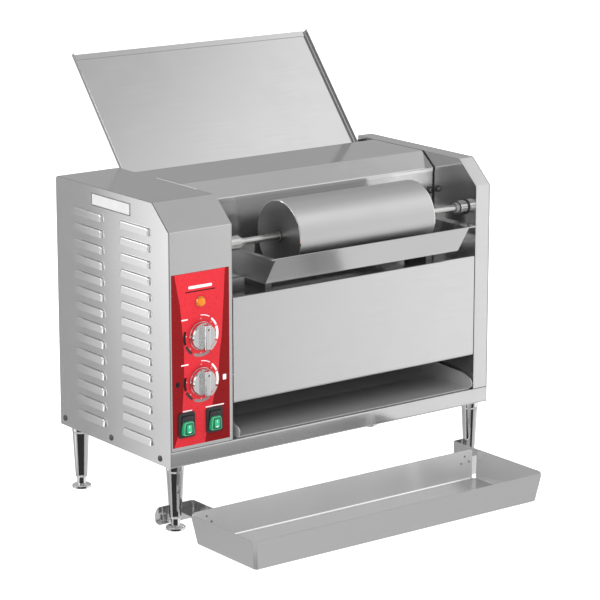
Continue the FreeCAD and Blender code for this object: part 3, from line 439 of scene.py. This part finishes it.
def printed(name, colour, rough=0.3, gloss=0.2):
    """Ink under the clear skin of the control film: a faint pebble in the skin, even colour."""
    made = Finish(name)
    fleck = made.noise((300.0, 300.0, 300.0), detail=3.0)
    darker = tuple(channel * 0.95 for channel in colour) + (1,)
    made.put(made.shader, "Base Color", made.blend(made.spread(fleck, 0.35, 0.65), darker,
                                                   tuple(colour) + (1,)))
    made.put(made.shader, "Roughness", made.spread(fleck, 0.3, 0.7, rough - 0.04, rough + 0.05))
    made.set(Specular_IOR_Level=gloss)
    made.bump(made.noise((1500.0, 1500.0, 1500.0)), 0.06, 0.00008)
    return made.material


def lit(name, colour, glow, rough=0.14):
    """A moulded lens with a lamp behind it: a cloudy tint that glows and a glossy skin."""
    made = Finish(name)
    cloud = made.noise((160.0, 160.0, 160.0), detail=2.0)
    darker = tuple(channel * 0.8 for channel in colour) + (1,)
    tint = made.blend(made.spread(cloud, 0.3, 0.7), darker, tuple(colour) + (1,))
    made.put(made.shader, "Base Color", tint)
    made.put(made.shader, "Emission Color", tint)
    made.set(Roughness=rough, Emission_Strength=glow)
    made.bump(made.noise((700.0, 700.0, 700.0)), 0.05, 0.0001)
    return made.material


def wire_mesh(name):
    """Woven belt wire: spirals across the belt with cross rods, in tone and in bump."""
    made = Finish(name)
    position = made.stretched((1.0, 1.0, 1.0))
    waves = []
    for direction, pitch in (("X", 330.0), ("Z", 210.0)):
        wave = made.add("ShaderNodeTexWave", Vector=position, Scale=pitch / math.pi, Distortion=0.3)
        wave.bands_direction = direction
        waves.append(wave.outputs["Fac"])
    weave = made.math("MULTIPLY", waves[0], waves[1])
    made.put(made.shader, "Base Color", made.blend(made.spread(weave, 0.1, 0.6), grey(0.03),
                                                   grey(0.42)))
    made.put(made.shader, "Roughness", made.spread(weave, 0.0, 1.0, 0.6, 0.3))
    made.set(Metallic=1.0)
    made.bump(weave, 0.9, 0.0008)
    return made.material


# The roller's axis, back from the case's front and up from the counter, and the edge of its ends.
ROLLER_DEPTH = 28
ROLLER_HEIGHT = 437.2
ROLLER_END_R = 56

STEEL_X = steel("steel_grain_x", 0)
STEEL_Y = steel("steel_grain_y", 1)
TRAY_STEEL = sheen_painted_steel("tray_steel", 0)
LANDING_STEEL = steel("landing_steel", 0, tone=0.62, rough=0.36, anisotropy=0.3, metal=0.5)
ROLLER_STEEL = turned_steel("roller_steel", FRONT + ROLLER_DEPTH * MM, ROLLER_HEIGHT * MM, 0.62, 0.30,
                            ROLLER_END_R * MM)
RECESS_STEEL = steel("recess_steel", 0, rough=0.20)
PLATE_WHITE = plain("plate_white", (0.60, 0.60, 0.60), rough=0.35, mottled=0.03)
# A pale, nearly dull finish for painted highlights on a fold and a cut edge.
HIGHLIGHT_PAINT = plain("painted_highlight", (0.90, 0.90, 0.90), rough=0.30, metallic=0.2, mottled=0.02)
SEAL_GREY = plain("seal_grey", (0.34, 0.34, 0.34), rough=0.30, metallic=0.6)
SCREW_STEEL = plain("screw_steel", (0.10, 0.10, 0.105), rough=0.10, metallic=1.0)
INNER_STEEL = steel("inner_steel", 0, tone=0.55, rough=0.45, metal=0.8)
DARK_STEEL = steel("dark_steel", 0, tone=0.16, rough=0.4)
CHROME = plain("chrome", (0.74, 0.74, 0.75), rough=0.06, metallic=1.0, mottled=0.02, bump=0.02)
TURNED = plain("turned_steel", (0.62, 0.62, 0.61), rough=0.20, metallic=1.0)
KNOB_METAL = plain("knob_metal", (0.72, 0.72, 0.72), rough=0.18, metallic=1.0, mottled=0.03)
RUBBER = plain("black_rubber", (0.018, 0.018, 0.02), rough=0.38)
BLACK = plain("black_plastic", (0.03, 0.03, 0.032), rough=0.45)
DARK_RED = printed("film_dark_red", (0.225, 0.006, 0.008), gloss=0.1)
RED = printed("film_red", (0.64, 0.022, 0.034))
INK_WHITE = printed("ink_white", (0.90, 0.86, 0.86))
INK_SILVER = printed("ink_silver", (0.50, 0.42, 0.42))
INK_GREY = printed("ink_grey", (0.24, 0.22, 0.22))
INK_DARK = printed("ink_dark", (0.055, 0.035, 0.035))
INK_BLACK = printed("ink_black", (0.010, 0.008, 0.008))
AMBER = lit("amber_lens", (0.82, 0.20, 0.010), 0.22)
AMBER_RIM = plain("amber_rim", (0.80, 0.42, 0.16), rough=0.14, metallic=1.0, mottled=0.05, bump=0.02)
GREEN = lit("green_key", (0.008, 0.30, 0.12), 0.10)
GREEN_DEEP = lit("green_deep", (0.004, 0.13, 0.055), 0.03)
GREEN_LIT = lit("green_lit", (0.015, 0.42, 0.20), 0.28)
GREEN_EDGE = lit("green_edge", (0.10, 0.46, 0.27), 0.10)
BRONZE = plain("bearing_bronze", (0.55, 0.36, 0.16), rough=0.4, metallic=1.0)
MOTOR = plain("motor_paint", (0.05, 0.05, 0.055), rough=0.45)
CAST = plain("cast_plate", (0.42, 0.42, 0.42), rough=0.5, metallic=1.0)
SHEATH = plain("element_sheath", (0.22, 0.19, 0.17), rough=0.45, metallic=1.0)
BELT = wire_mesh("belt_mesh")

SLOT_MATERIALS = {
    "brushed_sheet": STEEL_X, "inner_sheet": INNER_STEEL, "leg_chrome": CHROME,
    "roller_steel": ROLLER_STEEL, "shaft_steel": TURNED, "bearing_bronze": BRONZE,
    "chain_steel": SHEATH, "black_rubber": RUBBER, "overlay_film": DARK_RED, "amber_lens": AMBER,
    "knob_metal": KNOB_METAL, "black_plastic": BLACK, "green_rocker": GREEN, "platen_metal": CAST,
    "element_sheath": SHEATH, "belt_mesh": BELT, "motor_paint": MOTOR,
}
OWN_MATERIALS = {
    "left_side_panel": STEEL_Y, "right_side_panel": STEEL_Y, "left_inner_wall": STEEL_Y,
    "right_inner_wall": STEEL_Y, "landing_tray": LANDING_STEEL, "catch_tray": TRAY_STEEL,
    # The pan rests get dark steel as painted shade, for the deep shade under the pan.
    "pan_rests": DARK_STEEL, "pilot_bezel": AMBER_RIM, "screws": SCREW_STEEL,
    "recess_wall": RECESS_STEEL, "seal_ring": SEAL_GREY,
}


def set_material(obj, material):
    if not obj.data.materials:
        obj.data.materials.append(material)
    for index in range(len(obj.material_slots)):
        obj.material_slots[index].material = material


BEVEL_ANGLE = 38
CAD_ROUNDING = 0.0003
CAD_WELD = 0.000005


def add_bevel(obj, width, segments=2):
    """A small rounding on a piece's edges, with its flat faces kept flat."""
    bevel = obj.modifiers.new("edge", "BEVEL")
    bevel.width = width
    bevel.segments = segments
    bevel.limit_method = "ANGLE"
    bevel.angle_limit = math.radians(BEVEL_ANGLE)
    normal = obj.modifiers.new("normal", "WEIGHTED_NORMAL")
    normal.keep_sharp = True


def dress_frame():
    """Weld every CAD node's mesh, and give it its finish and a small rounding on its edges."""
    for part in frame["record"]["subparts"]:
        node = NODES[part["node"]]
        set_material(node, OWN_MATERIALS.get(part["node"], SLOT_MATERIALS[part["material_slot"]]))
        weld = node.modifiers.new("weld", "WELD")
        weld.merge_threshold = CAD_WELD
        add_bevel(node, CAD_ROUNDING)


# ---------------------------------------------------------------------------------------------
# Pieces
# ---------------------------------------------------------------------------------------------

def add_piece(name, mesh, body, material, smooth=True):
    """Put a mesh, a bmesh in metres, on a body with its material."""
    bmesh.ops.remove_doubles(mesh, verts=mesh.verts, dist=0.0000005)
    bmesh.ops.recalc_face_normals(mesh, faces=mesh.faces)
    data = bpy.data.meshes.new(name)
    mesh.to_mesh(data)
    mesh.free()
    piece = bpy.data.objects.new(name, data)
    bpy.context.scene.collection.objects.link(piece)
    data.materials.append(material)
    for polygon in data.polygons:
        polygon.use_smooth = smooth
    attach(piece, body)
    return piece


def plate(name, plane, outline, inner, outer, body, material, edge=0.03):
    """A thin flat piece whose outline is pairs in a plane, from one height to another above it."""
    mesh = bmesh.new()
    back = [mesh.verts.new(plane(u, v, inner)) for u, v in outline]
    front = [mesh.verts.new(plane(u, v, outer)) for u, v in outline]
    mesh.faces.new(back)
    mesh.faces.new(front)
    for index in range(len(outline)):
        following = (index + 1) % len(outline)
        mesh.faces.new((back[index], back[following], front[following], front[index]))
    piece = add_piece(name, mesh, body, material, smooth=False)
    add_bevel(piece, edge * MM, 1)
    return piece


def sector(centre_u, centre_v, inner, outer, start, end):
    """The outline of a piece of a ring. Angles are in degrees clockwise from the top."""
    steps = max(3, int(abs(end - start) / 4))
    turns = [math.radians(start + (end - start) * step / steps) for step in range(steps + 1)]
    away = [(centre_u + outer * math.sin(turn), centre_v + outer * math.cos(turn)) for turn in turns]
    near = [(centre_u + inner * math.sin(turn), centre_v + inner * math.cos(turn)) for turn in turns]
    return away + near[::-1]


def rounded(left, low_v, right, high_v, radius, steps=5):
    """The outline of a rectangle with rounded corners."""
    points = []
    for centre_u, centre_v, first in ((right - radius, high_v - radius, 0),
                                      (left + radius, high_v - radius, 90),
                                      (left + radius, low_v + radius, 180),
                                      (right - radius, low_v + radius, 270)):
        for step in range(steps + 1):
            turn = math.radians(first + 90 * step / steps)
            points.append((centre_u + radius * math.cos(turn), centre_v + radius * math.sin(turn)))
    return points


def lathe(name, centre, axis, profile, body, material, segments=48):
    """A turned piece: pairs of radius and height in millimetres along an axis from its centre."""
    axis = Vector(axis).normalized()
    across = axis.orthogonal().normalized()
    beside = axis.cross(across)
    mesh = bmesh.new()
    rings = []
    for radius, height in profile:
        base = centre + axis * height * MM
        if radius == 0:
            rings.append([mesh.verts.new(base)])
            continue
        rings.append([mesh.verts.new(base + (across * math.cos(turn) + beside * math.sin(turn))
                                     * radius * MM)
                      for turn in (2 * math.pi * step / segments for step in range(segments))])
    for first, second in zip(rings, rings[1:]):
        for step in range(segments):
            following = (step + 1) % segments
            corners = [first[step % len(first)], first[following % len(first)],
                       second[following % len(second)], second[step % len(second)]]
            corners = [corner for index, corner in enumerate(corners) if corner not in corners[:index]]
            if len(corners) > 2:
                mesh.faces.new(corners)
    piece = add_piece(name, mesh, body, material)
    sharp = piece.modifiers.new("normal", "EDGE_SPLIT")
    sharp.split_angle = math.radians(35)
    return piece


PILLOW_RINGS = 8


def pillow(name, plane, outline, base, rise, body, material, flat):
    """A domed cap over an outline: steep at its sides and level in its middle, where the outline has
    shrunk to a flat part's share of its size."""
    centre_u = sum(u for u, v in outline) / len(outline)
    centre_v = sum(v for u, v in outline) / len(outline)
    mesh = bmesh.new()
    loops = [[mesh.verts.new(plane(u, v, base)) for u, v in outline]]
    for ring in range(1, PILLOW_RINGS + 1):
        turn = math.pi / 2 * ring / PILLOW_RINGS
        shrink = 1 - (1 - flat) * (1 - math.cos(turn))
        loops.append([mesh.verts.new(plane(centre_u + (u - centre_u) * shrink,
                                           centre_v + (v - centre_v) * shrink,
                                           base + rise * math.sin(turn))) for u, v in outline])
    for first, second in zip(loops, loops[1:]):
        for step in range(len(outline)):
            following = (step + 1) % len(outline)
            mesh.faces.new((first[step], first[following], second[following], second[step]))
    mesh.faces.new(loops[-1])
    mesh.faces.new(loops[0])
    return add_piece(name, mesh, body, material)


# ---------------------------------------------------------------------------------------------
# Control tower
# ---------------------------------------------------------------------------------------------

# Places on the controls are millimetres across from the case's left face and up from the counter.
DIAL_X = 58.5
DIALS = (("heat", "heat_control", 308.5), ("speed", "speed_dial", 236))
RING_R = 33
DOT_RING_R = 27
DOT_R = 1.1
PILOT_HEIGHT = 362.4
SWITCHES = (("left", "left_key", 29.75), ("right", "right_key", 81.55))
FILM_TOP = 0.3
INK_LIFT = 0.10
# The bright middle of the film: its left and right edges from the top down.
BAND_LEFT = ((10.6, 409.2), (11.8, 401.9), (15.6, 382.3), (19.9, 362.5), (22.3, 342.9), (23.9, 323.5),
             (27.1, 288.3), (26.6, 248.1), (24.4, 213), (22.9, 193), (18.5, 168.3), (11.1, 147.2),
             (7.4, 137.3))
BAND_RIGHT = ((104.4, 409.2), (103.8, 400.5), (101.6, 362.1), (99.5, 331.3), (97.4, 300.5),
              (93.7, 277.8), (91.1, 247.7), (84.8, 218.1), (78.5, 193.6), (69.8, 164.4), (66, 144.5),
              (64.6, 137.3))
# A dial's printed ring: start and end in degrees clockwise from the top, width and ink.
DIAL_ARCS = ((0, 30, 1.3, INK_WHITE), (39, 65, 3.2, INK_WHITE), (69, 108, 4.5, INK_WHITE),
             (113, 144, 4.5, INK_SILVER), (150, 205, 4.5, INK_GREY), (213, 244, 4.5, INK_DARK),
             (249, 289, 4.5, INK_BLACK))
DIAL_DOTS = (0, 46, 88, 132, 180, 228, 275)
# Blank bars beside the dials and over the switches: left, right and height.
FILM_BARS = ((22.7, 34.5, 337), (21.5, 35, 266), (23.5, 41, 192.9), (66.5, 101, 193.2))


def print_film():
    """The film's bright middle band, the rings round its dials, and its plain marks."""
    def ink(name, outline, material):
        plate(name, on_front, outline, FILM_TOP, FILM_TOP + INK_LIFT, "frame",
              material, edge=0.02)
    plate("film_band", on_front, list(BAND_LEFT) + list(BAND_RIGHT)[::-1], FILM_TOP, FILM_TOP + 0.05,
          "frame", RED, edge=0.02)
    for dial, _, height in DIALS:
        for index, (start, end, wide, material) in enumerate(DIAL_ARCS):
            ink("%s_arc_%d" % (dial, index),
                sector(DIAL_X, height, RING_R - wide, RING_R, start, end), material)
        for index, turn in enumerate(DIAL_DOTS):
            away = math.radians(turn)
            dot_x = DIAL_X + DOT_RING_R * math.sin(away)
            dot_height = height + DOT_RING_R * math.cos(away)
            ink("%s_dot_%d" % (dial, index), sector(dot_x, dot_height, 0.02, DOT_R, 0, 350),
                INK_SILVER)
    ink("head_bar", rounded(36, 384, 80, 388.6, 2.2), INK_WHITE)
    ink("head_line", rounded(30, 378.6, 86, 380.4, 0.85), INK_BLACK)
    ink("slow_mark", rounded(11.2, 233.0, 18.0, 240.8, 1.2), INK_BLACK)
    ink("fast_mark", rounded(99.2, 231.8, 105.6, 240.4, 1.0), INK_WHITE)
    for index, (left, right, height) in enumerate(FILM_BARS):
        ink("film_bar_%d" % index, rounded(left, height - 1.0, right, height + 1.0, 0.9), INK_WHITE)


def finish_knobs():
    """The dark index dot on each grip bar, and the polished ring round each skirt."""
    for name, body, height in DIALS:
        lathe(name + "_knob_dot", on_front(DIAL_X + 1.0, height + 12.5, 20.3), (0, -1, 0),
              ((0, -0.2), (1.5, -0.2), (1.5, 0.04), (1.1, 0.06), (0, 0.06)), body, BLACK,
              segments=24)
        lathe(name + "_skirt_ring", on_front(DIAL_X, height, 0.3), (0, -1, 0),
              ((21.6, 0.65), (22.3, 0.65), (22.45, 1.0), (22.3, 2.2), (21.6, 2.4)), body,
              CHROME, segments=72)


# The steps of a rocker's green window, from its rim in: low and high edge, half width at each,
# corner, base, rise, the flat part and the lens.
WINDOW_STEPS = (("window", 155.4, 178.6, 11.3, 9.4, 4, 3.0, 6.2, 0.80, GREEN),
                ("window_line", 156.2, 177.4, 9.9, 8.2, 3.4, 7.0, 2.35, 0.93, GREEN_EDGE),
                ("window_well", 157.0, 176.5, 9.0, 7.4, 3.0, 7.0, 2.5, 0.93, GREEN_DEEP))


def soft_trapezoid(centre, low_v, high_v, low_half, high_half, radius):
    """A rounded outline that is wider at its foot."""
    outline = rounded(-high_half, low_v, high_half, high_v, radius)
    span = high_v - low_v
    return [(centre + u * (1 + (low_half / high_half - 1) * (high_v - v) / span), v)
            for u, v in outline]


def finish_switches():
    """Each rocker: a black rubber boot that bulges over it inside the frame's well, a black floor
    in that well, and a green lit window in its lower part, framed and stepped."""
    for side, body, centre in SWITCHES:
        boot = pillow(side + "_boot", on_front, rounded(centre - 10.1, 156.6, centre + 10.1, 186.2, 4),
                      3.9, 2.9, body, RUBBER, flat=0.62)
        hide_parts(side + "_rocker")
        plate(side + "_well_floor", on_front, rounded(centre - 10.2, 156.6, centre + 10.2, 186.4, 1.0),
              0.36, 0.48, "frame", RUBBER, edge=0.01)
        for step, bottom, top, low_half, high_half, corner, base, rise, flat, lens in WINDOW_STEPS:
            pillow("%s_%s" % (side, step), on_front,
                   soft_trapezoid(centre, bottom, top, low_half, high_half, corner), base, rise, body,
                   lens, flat=flat)
        pillow(side + "_window_lamp", on_front, rounded(centre - 4.8, 159.4, centre + 4.8, 173.8, 1.6),
               7.0, 2.9, body, GREEN_LIT, flat=0.85)
        # Two white marks on the window's dome are painted highlights.
        plate(side + "_window_mark", on_front, rounded(centre - 2.2, 160.6, centre + 2.4, 162.2, 0.7),
              9.0, 9.95, body, INK_WHITE)
        plate(side + "_window_bar", on_front, rounded(centre - 0.5, 167.6, centre + 0.5, 172.2, 0.45),
              9.0, 9.95, body, INK_WHITE)


def finish_pilot():
    """A polished ring where the pilot light's lens leaves its bezel."""
    centre = on_front(DIAL_X - 0.2, PILOT_HEIGHT, FILM_TOP)
    lathe("pilot_seat", centre, (0, -1, 0), ((6.6, 1.6), (7.9, 2.6), (7.6, 2.9), (6.6, 2.2)), "frame",
          AMBER_RIM)


# ---------------------------------------------------------------------------------------------
# Case details
# ---------------------------------------------------------------------------------------------

def flat_frame(name, plane, outer, inner, base, top, body, material):
    """A thin frame between two outlines that have the same number of points."""
    mesh = bmesh.new()
    loops = [[mesh.verts.new(plane(u, v, height)) for u, v in outline]
             for outline, height in ((outer, base), (outer, top), (inner, top), (inner, base))]
    for first, second in zip(loops, loops[1:] + loops[:1]):
        for step in range(len(outer)):
            following = (step + 1) % len(outer)
            mesh.faces.new((first[step], first[following], second[following], second[step]))
    return add_piece(name, mesh, body, material, smooth=False)


def finish_case():
    """The blank rating plate with its rim, the bolt in the recess, a dark ring where the roller's bush
    meets the wall, painted shade for the gap there, and a dark rubber ring on the bush's face."""
    outline = rounded(102, 485, 211, 505, 1.5)
    plate("rating_plate", on_side, outline, 0, 0.35, "frame", PLATE_WHITE)
    flat_frame("rating_plate_rim", on_side, outline, rounded(103.4, 486.4, 209.6, 503.6, 0.9),
               0.3, 0.6, "frame", DARK_STEEL)
    wall = (high("recess_wall").y - FRONT) / MM - 1.2
    bolt = spot(601, wall, 453)
    lathe("recess_bolt", bolt, (0, -1, 0),
          ((6, 0), (6, 2.6), (5.2, 3.6), (3.1, 3.8), (3.0, 2.4), (0, 2.4)), "frame",
          BLACK)
    lathe("recess_bolt_core", bolt, (0, -1, 0),
          ((2.8, 2.2), (2.6, 3.4), (0, 3.6)), "frame", TURNED, segments=24)
    axis_y = (low("roller_bush").y + high("roller_bush").y) / 2
    axis_z = (low("roller_bush").z + high("roller_bush").z) / 2
    # The ring where the bush meets the wall is painted shade for the gap round the bush.
    for name, x, inner, outer, wide in (
            ("bush_shadow_ring", high("roller_bush").x - 1.7 * MM, 11.02, 12.5, 1.6),
            ("bush_face", low("roller_bush").x - 0.25 * MM, 9.6, 10.6, 0.5)):
        lathe(name, Vector((x, axis_y, axis_z)), (1, 0, 0),
              ((inner, 0), (outer - 0.3, 0), (outer, 0.2), (outer, wide - 0.1), (inner, wide - 0.1),
               (inner, 0)), "frame", RUBBER)


# The fold over a tower's front: its foot, where its sloped edge starts and ends, and how far a strip
# on it stands out and sinks in.
FOLD_FOOT = 132
SLOPE_LOW = 475
SLOPE_DEPTH = 43.8
TOP = 515
FOLD_LIFT = 0.04
FOLD_SINK = -0.2


def fold_line(name, x, wide, node, material):
    """A narrow strip over the front, sloped edge and top of a tower, where two sheets meet."""
    rear = (high(node).y - FRONT) / MM - 1.0
    path = [(0, FOLD_FOOT), (0, SLOPE_LOW), (SLOPE_DEPTH, TOP), (rear, TOP)]
    outward = [(-1, 0), (-0.92, 0.38), (-0.36, 0.93), (0, 1)]
    mesh = bmesh.new()
    rows = [[mesh.verts.new(spot(side, y + out_y * height, z + out_z * height))
             for side, height in ((x, FOLD_SINK), (x, FOLD_LIFT), (x + wide, FOLD_LIFT),
                                  (x + wide, FOLD_SINK))]
            for (y, z), (out_y, out_z) in zip(path, outward)]
    for first, second in zip(rows, rows[1:]):
        for step in range(4):
            following = (step + 1) % 4
            mesh.faces.new((first[step], first[following], second[following], second[step]))
    mesh.faces.new(rows[0])
    mesh.faces.new(rows[-1])
    return add_piece(name, mesh, "frame", material, smooth=False)


def finish_seams():
    """Dark gaps beside the outer panels, a pale strip on the hood's cut edge as a painted highlight,
    and a bright chrome strip on the narrow tower's cut edge."""
    fold_line("left_seam", 1.2, 1.0, "left_tower_shell", BLACK)
    # A pale strip on the hood's cut edge: a painted highlight.
    plate("hood_edge_highlight", lambda u, v, lift: spot(u, v, TOP + lift),
          [(117.0, 92), (118.2, 92), (118.2, 205), (117.0, 205)], -0.2, 0.05, "frame",
          HIGHLIGHT_PAINT, edge=0.01)
    fold_line("right_seam", 638.0, 0.6, "right_tower_shell", DARK_STEEL)
    fold_line("right_cut_edge", 610.2, 0.8, "right_tower_shell", CHROME)


# How far the roller's bosses stand out from its end faces.
BOSS_LENGTH = 3


def finish_roller():
    """A polished line round each rim of the roller, and a dark ring where the shaft enters."""
    first, last = low("butter_roller"), high("butter_roller")
    axis_y = (first.y + last.y) / 2
    axis_z = (first.z + last.z) / 2
    ends = (("left", first.x + BOSS_LENGTH * MM, 1), ("right", last.x - BOSS_LENGTH * MM, -1))
    for side, x, way in ends:
        lathe("roller_rim_" + side, Vector((x, axis_y, axis_z)), (way, 0, 0),
              ((55.6, 0.02), (55.9, -0.06), (56.9, 0.35), (57.24, 1.4), (57.22, 2.0), (56.8, 2.0)),
              "roller", CHROME, segments=96)
        lathe("roller_boss_ring_" + side, Vector((x, axis_y, axis_z)), (-way, 0, 0),
              ((8.02, 0.02), (9.6, 0.02), (9.5, 0.8), (8.8, 1.3), (8.02, 1.3)), "roller",
              BLACK, segments=40)


# How far the catch tray's walls lean out, over their height, and how far the painted highlight
# on its rear fold stays from its ends.
TRAY_FLARE = 8.0
TRAY_HEIGHT = 48.0
SHINE_MARGIN = 18
# Where each group of welds starts across, and each weld's place across and up in its group.
WELD_STARTS = (("left", 20.0), ("right", 538.0))
WELD_SPOTS = ((0, 28), (9, 38.5), (17, 29))


def finish_trays():
    """The catch tray's rear fold with a painted highlight along it, and three spot welds at each end
    of its rear wall."""
    foot_y = (high("catch_tray").y - FRONT) / MM - TRAY_FLARE
    first = (low("catch_tray").x - LEFT) / MM + SHINE_MARGIN
    last = (high("catch_tray").x - LEFT) / MM - SHINE_MARGIN

    def on_fold(u, v, lift):
        return spot(u, foot_y - 2.0 - 0.9 * v - 0.7 * lift, 2.2 - 0.9 * v + 0.7 * lift)

    # A pale strip along the rear fold: a painted highlight.
    plate("rear_fold_painted_highlight", on_fold, [(first, -0.9), (last, -0.9), (last, 0.9), (first, 0.9)],
          -0.3, 0.25, "catcher", HIGHLIGHT_PAINT, edge=0.05)
    lean = TRAY_FLARE / TRAY_HEIGHT
    normal = Vector((0, -1, lean)).normalized()
    for side, start in WELD_STARTS:
        for index, (across, up) in enumerate(WELD_SPOTS):
            y = foot_y + up * lean
            lathe("%s_weld_%d" % (side, index), spot(start + across, y - 1.28, up), normal,
                  ((1.7, -0.1), (1.6, 0.12), (1.2, 0.2), (0.8, 0.08), (0, 0.05)), "catcher",
                  DARK_STEEL, segments=20)


make_camera()
make_floor()
make_world()
make_card()
make_lights()
dress_frame()
print_film()
finish_knobs()
finish_switches()
finish_pilot()
finish_case()
finish_seams()
finish_roller()
finish_trays()
bpy.context.scene.view_settings.view_transform = "Standard"
